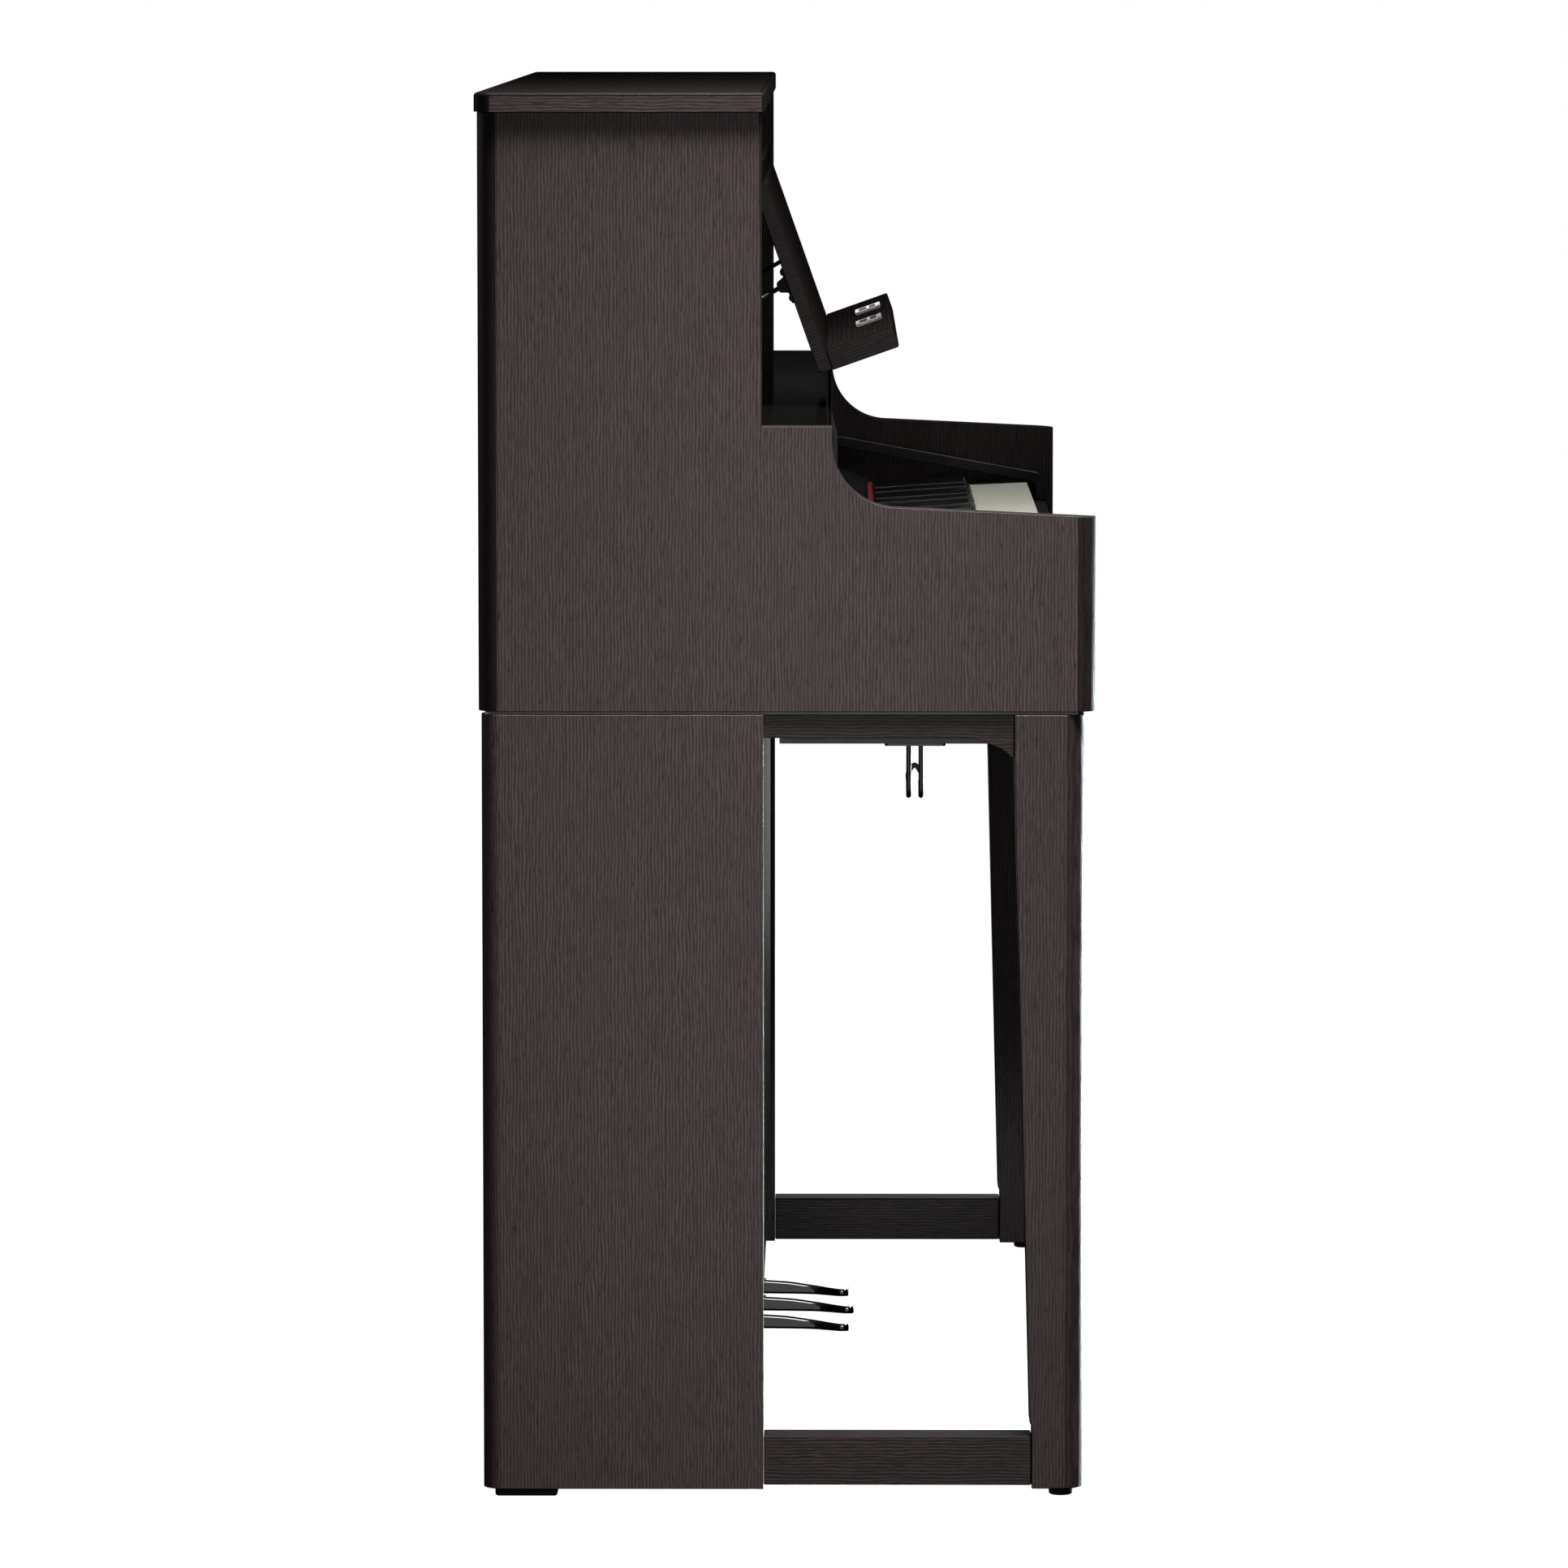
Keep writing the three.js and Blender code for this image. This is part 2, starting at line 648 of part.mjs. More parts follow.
function musicDesk() {
  const panel = [
    [DESK_TOP, 0, 3],
    [DESK_END, 0, 2],
    [DESK_END, -DESK_THICK, 5],
    [DESK_TOP, -DESK_THICK, 5],
  ];
  const brackets = [-1, 1].map((side) => stayBracket(side * BRACKET_X));
  piece("music_desk", join(onDesk(panel, -DESK_HALF, DESK_HALF), ...brackets.flat()), WOOD);
  const ledge = [
    [LEDGE_DROP, GAP],
    [LEDGE_DROP, LEDGE_DEPTH, 1.5],
    [LEDGE_DROP + LEDGE_THICK, LEDGE_DEPTH, 2],
    [LEDGE_DROP + LEDGE_THICK, GAP],
  ];
  piece("desk_ledge", onDesk(ledge, -DESK_HALF, DESK_HALF, 3), WOOD);
}

function pageHolders() {
  const half = 33;
  const place = 124;
  const plate = [
    [LEDGE_DROP - GAP, 28, 1],
    [LEDGE_DROP - GAP, 51, 1],
    [LEDGE_DROP - GAP - 2.6, 51, 1],
    [LEDGE_DROP - GAP - 2.6, 28, 1],
  ];
  const slot = [
    [LEDGE_DROP + 2, 35],
    [LEDGE_DROP + 2, 41],
    [LEDGE_DROP - 6, 41],
    [LEDGE_DROP - 6, 35],
  ];
  const holder = cut(
    onDesk(plate, -place - half, -place + half, 2),
    onDesk(slot, -place - half + 12, -place + half - 12),
  );
  pair("page_holder", holder, BRIGHT_METAL);
}

// The plate and two ears that a stay pivots in, fastened to the back of the desk.
function stayBracket(x) {
  const back = -DESK_THICK;
  const plate = [
    [STAY_DROP - 14, back + 1],
    [STAY_DROP + 16, back + 1],
    [STAY_DROP + 16, back - 1.8],
    [STAY_DROP - 14, back - 1.8],
  ];
  const ear = [
    [STAY_DROP - 7, back - 1],
    [STAY_DROP + 7, back - 1],
    [STAY_DROP + 4, back - 9, 2.5],
    [STAY_DROP - 4, back - 9, 2.5],
  ];
  const ears = [-5.5, 5.5].map((off) => onDesk(ear, x + off - 1.2, x + off + 1.2));
  return [onDesk(plate, x - 8, x + 8), ...ears];
}

function deskStays() {
  const [y, z] = deskPoint(STAY_DROP, STAY_OUT);
  const length = 49;
  const dip = THREE.MathUtils.degToRad(30.7);
  const splay = 12;
  const tip = [-BRACKET_X - splay, y + length * Math.cos(dip), z - length * Math.sin(dip)];
  const eye = rod([-BRACKET_X - 3.8, y, z], [-BRACKET_X + 3.8, y, z], 2.8, 20);
  pair("desk_stay", join(eye, rod([-BRACKET_X, y, z], tip, 2, 12)), DARK_STEEL);
}

// ---- headphone hook ----------------------------------------------------------------------
function headphoneHook() {
  const x = -634;
  const plateTop = KEYBED_UNDER - GAP;
  const [rearY, frontY] = [-98.2, -108];
  const wire = 2;
  const reach = 20; // from the shanks to the lip
  const low = 556.8;
  const lipTop = 580.3;
  const points = [
    [x, rearY, plateTop - 1],
    [x, rearY, low + reach / 2],
    [x + reach * 0.15, rearY, low + reach * 0.13],
    [x + reach / 2, rearY, low],
    [x + reach * 0.85, rearY, low + reach * 0.13],
    [x + reach, rearY, low + reach / 2],
    [x + reach, rearY, lipTop - 6],
    [x + reach, (rearY + frontY) / 2, lipTop],
    [x + reach, frontY, lipTop - 6],
    [x + reach, frontY, low + reach / 2],
    [x + reach * 0.85, frontY, low + reach * 0.13],
    [x + reach / 2, frontY, low],
    [x + reach * 0.15, frontY, low + reach * 0.13],
    [x, frontY, low + reach / 2],
    [x, frontY, plateTop - 1],
  ].map((p) => new THREE.Vector3(...p));
  const path = new THREE.CatmullRomCurve3(points, false, "centripetal");
  const ring = new THREE.Shape().absarc(0, 0, wire, 0, Math.PI * 2, false);
  const hook = new THREE.ExtrudeGeometry(ring, {
    extrudePath: path,
    steps: 64,
    curveSegments: 4,
  });
  const plate = box([x - 8, x + 28], [-128, -79], [plateTop - 1.8, plateTop]);
  piece("headphone_hook", join(plate, hook), DARK_STEEL);
}

// ---- pedals ------------------------------------------------------------------------------
function pedal(x, tip) {
  const [pivotY, pivotZ] = PEDAL_PIVOT;
  const side = [
    [pivotY + 8, pivotZ - 7, 4],
    [pivotY + 8, pivotZ + 7, 4],
    [30, 56.4],
    [2, 54.7, 60],
    [tip + 14, 49.3, 30],
    [tip + 1, 48.6, 3],
    [tip, 42.2, 2],
    [tip + 12, 42.2],
    [30, 43.5],
  ];
  const half = [
    [PEDAL_ARM, pivotY + 9],
    [PEDAL_ARM, tip + 30, 30],
    [PEDAL_NOSE, tip + 8, 4],
    [PEDAL_NOSE, tip, 6],
  ];
  const left = half.map(([dx, y, r]) => [x - dx, y, r]);
  const right = half.map(([dx, y, r]) => [x + dx, y, r]).reverse();
  const blank = alongX(side, x - PEDAL_NOSE, x + PEDAL_NOSE, 8);
  const body = common(blank, alongZ([...left, ...right], 30, 60, 8));
  return cut(body, rod([x - 20, pivotY, pivotZ], [x + 20, pivotY, pivotZ], 4.6, 24));
}

function pedals() {
  const names = ["soft_pedal", "sostenuto_pedal", "damper_pedal"];
  names.forEach((name, i) => {
    piece(name, pedal((i - 1) * PEDAL_PITCH, PEDAL_TIPS[i]), CHROME);
  });
  const [y, z] = PEDAL_PIVOT;
  const reach = 165;
  const channel = cut(
    box([-reach, reach], [56.3, 150], [12, 84]),
    box([-reach + 4, reach - 4], [50, 146], [16, 90]),
  );
  const axle = rod([-reach + 1, y, z], [reach - 1, y, z], 4, 24);
  piece("pedal_frame", join(channel, axle), GREY_STEEL);
  const slots = [-1, 0, 1].map((i) =>
    box([i * PEDAL_PITCH - 17, i * PEDAL_PITCH + 17], [35, 60], [28, 62]),
  );
  const board = box([-INSIDE, INSIDE], [40, 56], [8.5, 85.7]);
  piece("toe_board", cut(board, ...slots), WOOD);
}

// ---- assembly ----------------------------------------------------------------------------
upperSides();
lowerSides();
frontLegs();
standRails();
feet();
topLid();
boards();
nameBoard();
controls();
keyboardLid();
lidTracks();
keys();
insides();
musicDesk();
pageHolders();
deskStays();
headphoneHook();
pedals();

export default piano;
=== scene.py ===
"""Looks of the digital piano on its stand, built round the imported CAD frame.

Frame: +Z up, the player sits at -Y, the treble end is +X. Shapes are drawn in millimetres.
"""

import math

import bmesh
import bpy
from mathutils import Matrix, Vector


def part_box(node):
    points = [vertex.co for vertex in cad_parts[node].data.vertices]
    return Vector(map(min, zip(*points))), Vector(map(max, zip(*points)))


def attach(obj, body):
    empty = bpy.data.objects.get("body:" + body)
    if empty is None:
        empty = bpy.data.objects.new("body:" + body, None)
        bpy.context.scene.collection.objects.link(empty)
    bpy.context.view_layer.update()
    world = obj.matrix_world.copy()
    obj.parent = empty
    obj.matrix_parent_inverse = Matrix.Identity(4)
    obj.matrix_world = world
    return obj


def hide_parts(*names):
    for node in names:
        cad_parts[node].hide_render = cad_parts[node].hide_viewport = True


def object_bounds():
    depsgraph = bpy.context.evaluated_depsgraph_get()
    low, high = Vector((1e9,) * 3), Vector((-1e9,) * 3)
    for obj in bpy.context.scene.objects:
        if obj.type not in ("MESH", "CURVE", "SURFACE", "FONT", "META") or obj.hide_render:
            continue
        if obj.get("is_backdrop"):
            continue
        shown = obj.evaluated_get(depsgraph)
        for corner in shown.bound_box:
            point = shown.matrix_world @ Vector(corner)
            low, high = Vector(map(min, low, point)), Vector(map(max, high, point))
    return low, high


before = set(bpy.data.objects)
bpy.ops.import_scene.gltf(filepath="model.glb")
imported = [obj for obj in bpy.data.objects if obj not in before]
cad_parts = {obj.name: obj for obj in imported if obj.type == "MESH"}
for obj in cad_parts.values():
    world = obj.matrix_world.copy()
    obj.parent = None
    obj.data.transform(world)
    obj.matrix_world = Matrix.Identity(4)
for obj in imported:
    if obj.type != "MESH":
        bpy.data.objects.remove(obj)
cad_low, cad_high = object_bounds()

MM = 0.001
GAP = 0.3  # between pieces that touch
SAME = 0.05  # two levels nearer than this are one
ARRIS_STEPS = 2  # segments of a softened edge


def box_mm(node):
    """Lowest and highest corner of a CAD node in millimetres."""
    low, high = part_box(node)
    return low / MM, high / MM


# ---- levels taken from the frame ---------------------------------------------------------
lid_low, lid_high = box_mm("top_lid")
side_low, side_high = box_mm("upper_side_left")
stand_low, stand_high = box_mm("lower_side_left")
leg_low, leg_high = box_mm("front_leg_left")
SIDE_OUT, SIDE_IN = -side_low.x, -side_high.x
INSIDE = SIDE_IN - GAP
LEG_IN = -leg_high.x
ARM_FRONT, REAR = side_low.y, side_high.y
SEAM_TOP, SEAM_LOW = side_low.z, stand_high.z
LID_UNDER = lid_low.z
STEP_TOP = box_mm("shelf")[1].z
DESK_HALF = box_mm("desk_ledge")[1].x

# ---- levels that no node's box gives, as in the CAD ----------------------------------------
FRONT_UPPER = 18.6  # front edge of the upper cabinet above the arms
STEP_FRONT = -37.1  # front of the step in the sides
LIP_FRONT, LIP_TOP = -42, 775  # upper front corner of the open keyboard lid

DESK_TILT = math.radians(19.5)
DESK_THICK = 11.5
DESK_ORIGIN = (7.2, 1010.5)  # a point (Y, Z) on the desk's front face
DESK_TOP = -31.0  # from that point down the desk to its top edge
LEDGE_DROP = 115.8  # and to the top of its ledge
LEDGE_DEPTH = 58.5
LEDGE_THICK = 17.8
DESK_END = LEDGE_DROP + LEDGE_THICK - 0.5  # and to its lower edge


# ---- mesh helpers ------------------------------------------------------------------------
def outline(corners, steps=8):
    """Corners (u, v, radius) as a polygon; a corner with a radius becomes an arc."""
    points = []
    for i, corner in enumerate(corners):
        here = Vector(corner[:2])
        radius = corner[2] if len(corner) > 2 else 0
        if not radius:
            points.append(here)
            continue
        back = (Vector(corners[i - 1][:2]) - here).normalized()
        ahead = (Vector(corners[(i + 1) % len(corners)][:2]) - here).normalized()
        half = math.acos(max(-1.0, min(1.0, back.dot(ahead)))) / 2
        run = radius / math.tan(half)
        centre = here + (back + ahead).normalized() * (radius / math.sin(half))
        a, b = here + back * run - centre, here + ahead * run - centre
        start = math.atan2(a.y, a.x)
        turn = (math.atan2(b.y, b.x) - start + math.pi) % (2 * math.pi) - math.pi
        for k in range(steps + 1):
            angle = start + turn * k / steps
            points.append(centre + radius * Vector((math.cos(angle), math.sin(angle))))
    return points


def rectangle(u, v, radius=0):
    """Corners of a rectangle between two levels along each axis, all of one radius."""
    return [(u[0], v[0], radius), (u[1], v[0], radius), (u[1], v[1], radius),
            (u[0], v[1], radius)]


def extruded(points, way):
    """A closed prism: the polygon of 3-D points, pushed along a vector."""
    bm = bmesh.new()
    face = bm.faces.new([bm.verts.new(p) for p in points])
    top = bmesh.ops.extrude_face_region(bm, geom=[face])["geom"]
    bmesh.ops.translate(bm, vec=way, verts=[v for v in top if isinstance(v, bmesh.types.BMVert)])
    bmesh.ops.recalc_face_normals(bm, faces=bm.faces)
    return bm


def prism(corners, x0, x1, steps=8):
    """A (Y, Z) outline extruded along X."""
    return extruded([(x0, p.x, p.y) for p in outline(corners, steps)], (x1 - x0, 0, 0))


def slab(corners, z0, z1, steps=8):
    """An (X, Y) outline extruded along Z."""
    return extruded([(p.x, p.y, z0) for p in outline(corners, steps)], (0, 0, z1 - z0))


def block(x, y, z):
    """A plain box between two levels along each axis."""
    return prism(rectangle(y, z), *x)


def node_block(node):
    """A plain box the size of a CAD node."""
    return block(*zip(*box_mm(node)))


def turned(profile, axis_from, axis_to, sides=32):
    """A lathe body: (radius, distance) points spun round the line between two points."""
    start, way = Vector(axis_from), (Vector(axis_to) - Vector(axis_from)).normalized()
    spin = way.to_track_quat("Z", "Y")
    bm = bmesh.new()
    rings = []
    for radius, along in profile:
        if radius < 1e-6:
            rings.append([bm.verts.new(start + way * along)])
            continue
        ring = []
        for k in range(sides):
            a = 2 * math.pi * k / sides
            ring.append(bm.verts.new(
                start + spin @ Vector((radius * math.cos(a), radius * math.sin(a), along))))
        rings.append(ring)
    for low, high in zip(rings, rings[1:]):
        for k in range(sides):
            corners = [low[k % len(low)], low[(k + 1) % len(low)],
                       high[(k + 1) % len(high)], high[k % len(high)]]
            unique = list(dict.fromkeys(corners))
            if len(unique) > 2:
                bm.faces.new(unique)
    for end in (rings[0], rings[-1]):
        if len(end) > 1:
            bm.faces.new(end)
    bmesh.ops.recalc_face_normals(bm, faces=bm.faces)
    return bm


def smooth_path(points, per_span):
    """Points of a Catmull-Rom curve through the given ones."""
    pts = [Vector(p) for p in points]
    pts = [2 * pts[0] - pts[1]] + pts + [2 * pts[-1] - pts[-2]]
    out = []
    for a, b, c, d in zip(pts, pts[1:], pts[2:], pts[3:]):
        for k in range(per_span):
            t = k / per_span
            out.append(0.5 * (2 * b + (c - a) * t + (2 * a - 5 * b + 4 * c - d) * t * t
                              + (3 * b - a - 3 * c + d) * t * t * t))
    out.append(pts[-2])
    return out


def tube(path, radius, sides=16):
    """A round wire along a path, its ends closed flat."""
    path = [Vector(p) for p in path]
    ahead = [(b - a).normalized() for a, b in zip(path, path[1:])]
    ahead.append(ahead[-1])
    side = ahead[0].orthogonal().normalized()
    bm = bmesh.new()
    rings = []
    for i, (p, t) in enumerate(zip(path, ahead)):
        if 0 < i < len(path) - 1:
            t = (ahead[i - 1] + ahead[i]).normalized()
        side = (side - t * side.dot(t)).normalized()
        up = t.cross(side)
        angles = [2 * math.pi * k / sides for k in range(sides)]
        rings.append([bm.verts.new(p + radius * (side * math.cos(a) + up * math.sin(a)))
                      for a in angles])
    for low, high in zip(rings, rings[1:]):
        for k in range(sides):
            bm.faces.new([low[k], low[(k + 1) % sides], high[(k + 1) % sides], high[k]])
    bm.faces.new(rings[0])
    bm.faces.new(rings[-1])
    bmesh.ops.recalc_face_normals(bm, faces=bm.faces)
    return bm


def edges_where(bm, test):
    """Edges whose two ends both pass the test."""
    return [e for e in bm.edges if all(test(v.co) for v in e.verts)]


def rounded(bm, edges, radius, segments):
    bmesh.ops.bevel(bm, geom=edges, offset=radius, segments=segments, profile=0.5,
                    affect="EDGES", clamp_overlap=False)


def joined(*bodies):
    """Several bmeshes as one, still separate shells."""
    whole = bodies[0]
    for extra in bodies[1:]:
        extra.verts.index_update()
        made = [whole.verts.new(v.co) for v in extra.verts]
        for face in extra.faces:
            whole.faces.new([made[v.index] for v in face.verts])
        extra.free()
    return whole


def mirrored(bm):
    """The same body on the other side of the plane X = 0."""
    for v in bm.verts:
        v.co.x = -v.co.x
    bmesh.ops.reverse_faces(bm, faces=bm.faces)
    return bm


def near(a, b):
    return abs(a - b) < SAME


def softened(obj, width, crease=30):
    """Bevels the object's edges sharper than the crease angle."""
    bevel = obj.modifiers.new("arris", "BEVEL")
    bevel.width = width * MM
    bevel.segments = ARRIS_STEPS
    bevel.limit_method = "ANGLE"
    bevel.angle_limit = math.radians(crease)
    return bevel


def piece(name, bm, look, body="cabinet", stands_for=(), arris=0.6, ends=None, corners=None,
          *, slot):
    """Turns a bmesh in millimetres into a shown piece that rides on a CAD body.

    ends is a second look for the faces square to X; corners is one for all other faces.
    """
    bmesh.ops.scale(bm, vec=(MM, MM, MM), verts=bm.verts)
    mesh = bpy.data.meshes.new(name)
    second = ends or corners
    if second:
        for face in bm.faces:
            square_to_x = abs(face.normal.x) >= 0.995
            face.material_index = int(square_to_x != bool(corners))
    bm.to_mesh(mesh)
    bm.free()
    mesh.materials.append(look)
    if second:
        mesh.materials.append(second)
    mesh.shade_smooth()
    obj = bpy.data.objects.new(name, mesh)
    bpy.context.scene.collection.objects.link(obj)
    if arris:
        bevel = softened(obj, arris)
        if second:
            # The bevel's faces take the corners look, so a darkened corners copy paints shade
            # along the softened edges too.
            bevel.material = int(bool(corners))
    flat = obj.modifiers.new("flat_faces", "WEIGHTED_NORMAL")
    flat.mode = "FACE_AREA"
    flat.weight = 100
    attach(obj, body)
    if stands_for:
        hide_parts(*stands_for)


# ---- node materials ----------------------------------------------------------------------
class Look:
    """A material whose nodes are added one by one; object coordinates drive every pattern."""

    def __init__(self, name, **sockets):
        self.material = bpy.data.materials.new(name)
        self.material.use_nodes = True
        self.tree = self.material.node_tree
        self.shader = self.tree.nodes["Principled BSDF"]
        for key, value in sockets.items():
            self.shader.inputs[key.replace("_", " ")].default_value = value
        self.place = self.node("ShaderNodeTexCoord").outputs["Object"]

    def node(self, kind, inputs=(), **props):
        """A new node; each input is a value, or a socket to link to."""
        made = self.tree.nodes.new(kind)
        for key, value in props.items():
            setattr(made, key, value)
        for key, value in dict(inputs).items():
            if isinstance(value, bpy.types.NodeSocket):
                self.tree.links.new(value, made.inputs[key])
            else:
                made.inputs[key].default_value = value
        return made

    def stretched(self, scale, turn=(0, 0, 0)):
        """Object coordinates turned, then scaled by cycles per metre along each axis."""
        spun = self.node("ShaderNodeMapping", {"Vector": self.place, "Rotation": turn})
        return self.node("ShaderNodeMapping",
                         {"Vector": spun.outputs[0], "Scale": scale}).outputs[0]

    def noise(self, vector, detail=2.0, rough=0.5, bend=0.0):
        return self.node("ShaderNodeTexNoise", {
            "Vector": vector, "Scale": 1.0, "Detail": detail, "Roughness": rough,
            "Distortion": bend}).outputs["Fac"]

    def even_noise(self, scale, **options):
        """Noise with the same number of cycles per metre along every axis."""
        return self.noise(self.stretched([scale] * 3), **options)

    def span(self, value, low, high, to_low=0.0, to_high=1.0):
        """The value's range low to high, brought to another range."""
        return self.node("ShaderNodeMapRange", {
            "Value": value, "From Min": low, "From Max": high, "To Min": to_low,
            "To Max": to_high}).outputs["Result"]

    def mix(self, share, a, b):
        """The colour a, turning to b as share goes from 0 to 1."""
        made = self.node("ShaderNodeMix", data_type="RGBA")
        for socket, value in ((0, share), (6, a), (7, b)):
            if isinstance(value, bpy.types.NodeSocket):
                self.tree.links.new(value, made.inputs[socket])
            elif socket:
                made.inputs[socket].default_value = (*value, 1)
            else:
                made.inputs[socket].default_value = value
        return made.outputs[2]

    def math(self, operation, a, b):
        return self.node("ShaderNodeMath", {0: a, 1: b}, operation=operation).outputs[0]

    def colour(self, socket):
        self.tree.links.new(socket, self.shader.inputs["Base Color"])

    def roughness(self, socket):
        self.tree.links.new(socket, self.shader.inputs["Roughness"])

    def bump(self, height, depth_mm, strength):
        made = self.node("ShaderNodeBump", {
            "Height": height, "Distance": depth_mm * MM, "Strength": strength})
        self.tree.links.new(made.outputs[0], self.shader.inputs["Normal"])


def along(axis, there, elsewhere):
    """Three values, one for each axis, with its own for the named axis."""
    values = [elsewhere] * 3
    values["XYZ".index(axis)] = there
    return values


VENEER = (0.062, 0.0460, 0.0465)
RIDGE = 0.0027  # metres from one ridge of the grain to the next
SWAY = 11.0  # how far, in radians of a ridge, the grain wanders


def veneer(name, grain, tone=1.0, gloss=0.46, turn=(0, 0, 0), contrast=1.0, relief=0.12,
           level=0.3):
    """Dark open-pore veneer: fine wavy ridges along the grain axis, pits and slow tint drift."""
    look = Look(name, Specular_IOR_Level=level)

    def grain_noise(crosswise, lengthwise, **options):
        scale = along(grain, lengthwise, crosswise)
        return look.noise(look.stretched(scale, turn), **options)

    across = look.node("ShaderNodeVectorMath",
                       {0: look.stretched([1.0] * 3, turn), 1: along(grain, 0.0, 1.0)},
                       operation="DOT_PRODUCT").outputs["Value"]
    phase = look.math("ADD", look.math("MULTIPLY", across, 2 * math.pi / RIDGE),
                      look.math("MULTIPLY", grain_noise(95.0, 26.0), SWAY))
    come_and_go = look.span(grain_noise(210.0, 34.0), 0.36, 0.60, 0.6)
    wave = look.math("MULTIPLY", look.span(look.math("SINE", phase, 0.0), -0.6, 1.0),
                     come_and_go)
    fine = grain_noise(700.0, 90.0, bend=0.3)
    drift = grain_noise(26.0, 6.0, detail=3.0, rough=0.55)
    lift = look.span(look.math("ADD", look.math("MULTIPLY", wave, 0.5),
                               look.math("MULTIPLY", fine, 0.9)), 0.38, 0.94)
    dark = [c * tone * (1 - 0.40 * contrast) for c in VENEER]
    light = [c * tone * (1 + 0.50 * contrast) for c in VENEER]
    cool = [c * tone for c in (0.88 * VENEER[0], 1.04 * VENEER[1], VENEER[2])]
    warm = look.mix(lift, dark, light)
    tinted = look.mix(look.span(drift, 0.45, 0.65, 0.0, 0.3), warm, cool)
    pits = look.span(fine, 0.26, 0.34)
    look.colour(look.mix(pits, [c * 0.6 for c in dark], tinted))
    look.roughness(look.span(wave, 0.0, 1.0, gloss + 0.08, gloss - 0.06))
    look.bump(lift, relief, 0.6)
    return look.material


def moulded(name, colour, gloss=0.45, grit=900.0, depth=0.03, spread=0.25, level=0.5):
    """Moulded or lacquered surface: fine spark texture, faint cloudiness and handling marks."""
    look = Look(name, Specular_IOR_Level=level)
    cloud = look.even_noise(14.0, detail=3.0)
    low = [c * (1 - spread) for c in colour]
    high = [c * (1 + spread) for c in colour]
    look.colour(look.mix(look.span(cloud, 0.35, 0.65), low, high))
    handled = look.even_noise(70.0, detail=3.0)
    look.roughness(look.span(handled, 0.3, 0.7, gloss - 0.05, gloss + 0.07))
    look.bump(look.even_noise(grit, detail=1.0), depth, 0.6)
    return look.material


def metal(name, colour, gloss=0.12, brushed=None, marks=0.05):
    """Metal with faint handling marks; brushed names the axis the scratches run along."""
    look = Look(name, Metallic=1.0)
    scale = along(brushed, 12.0, 900.0) if brushed else [60.0] * 3
    streak = look.noise(look.stretched(scale), detail=3.0, rough=0.6)
    cloud = look.even_noise(22.0, detail=3.0)
    look.colour(look.mix(look.span(cloud, 0.3, 0.7), [c * 0.92 for c in colour], colour))
    look.roughness(look.span(streak, 0.3, 0.7, gloss, gloss + marks))
    look.bump(streak, 0.01, 0.35)
    return look.material


def felted(name, colour):
    """Pressed felt: short fuzz, its mottle darker in its hollows, partly the felt's own tone and
    partly painted shade.
    """
    look = Look(name, Roughness=0.95, Specular_IOR_Level=0.1, Sheen_Weight=0.08)
    fuzz_and_shade = look.even_noise(1500.0, detail=4.0, rough=0.7)
    look.colour(look.mix(fuzz_and_shade, [c * 0.6 for c in colour], [c * 1.35 for c in colour]))
    look.bump(fuzz_and_shade, 0.2, 0.8)
    return look.material


def ivory_look(name):
    """Ivory-like key tops with faint streaks along the keys."""
    look = Look(name, Specular_IOR_Level=0.45, Subsurface_Weight=0.06, Subsurface_Scale=0.002)
    streak = look.noise(look.stretched([420.0, 30.0, 420.0]), detail=3.0, rough=0.6)
    look.colour(look.mix(look.span(streak, 0.3, 0.7), (0.70, 0.69, 0.60), (0.80, 0.79, 0.71)))
    look.roughness(look.span(streak, 0.3, 0.7, 0.30, 0.42))
    look.bump(streak, 0.02, 0.5)
    return look.material


def weave_look(name, colour):
    """Open speaker cloth: two crossed sets of threads."""
    look = Look(name, Roughness=0.85, Specular_IOR_Level=0.2)
    threads = []
    for axis in ("X", "Z"):
        threads.append(look.node("ShaderNodeTexWave", {
            "Vector": look.place, "Scale": 90.0, "Distortion": 0.6, "Detail": 1.0},
            wave_type="BANDS", bands_direction=axis).outputs["Fac"])
    cross = look.math("MULTIPLY", *threads)
    look.colour(look.mix(cross, [c * 0.35 for c in colour], colour))
    look.bump(cross, 0.3, 0.8)
    return look.material


def board_look(name):
    """Green circuit board with a grid of tracks."""
    look = Look(name, Roughness=0.55)
    tracks = look.node("ShaderNodeTexBrick", {
        "Vector": look.place, "Scale": 60.0, "Mortar Size": 0.03}).outputs["Fac"]
    cloud = look.even_noise(30.0)
    green = look.mix(cloud, (0.012, 0.07, 0.03), (0.02, 0.11, 0.05))
    look.colour(look.mix(tracks, green, (0.05, 0.16, 0.07)))
    look.bump(tracks, 0.05, 0.4)
    return look.material


# One veneer: each tone also carries the shade that lies on that part in the photo.
WOOD_Z = veneer("veneer_upright", "Z")
WOOD_LEG = veneer("veneer_leg", "Z", tone=0.85)
WOOD_Y = veneer("veneer_fore_and_aft", "Y", tone=0.85, contrast=1.1)
# Tone 0.56: painted shade on the low stretcher rails.
WOOD_RAIL_SHADED = veneer("veneer_rail_painted_shade", "Y", tone=0.56, contrast=1.1)
# The darker corner, leg-corner and rail-edge copies are painted shade on rounded corners, tops
# and rail edges.
WOOD_CORNER_SHADED = veneer("veneer_corner_painted_shade", "Z", tone=0.28)
STAND_CORNER = veneer("veneer_stand_corner", "Z")
LEG_CORNER_SHADED = veneer("veneer_leg_corner_painted_shade", "Z", tone=0.55)
RAIL_EDGE_SHADED = veneer("veneer_rail_edge_painted_shade", "Y", tone=0.14, level=0.1)
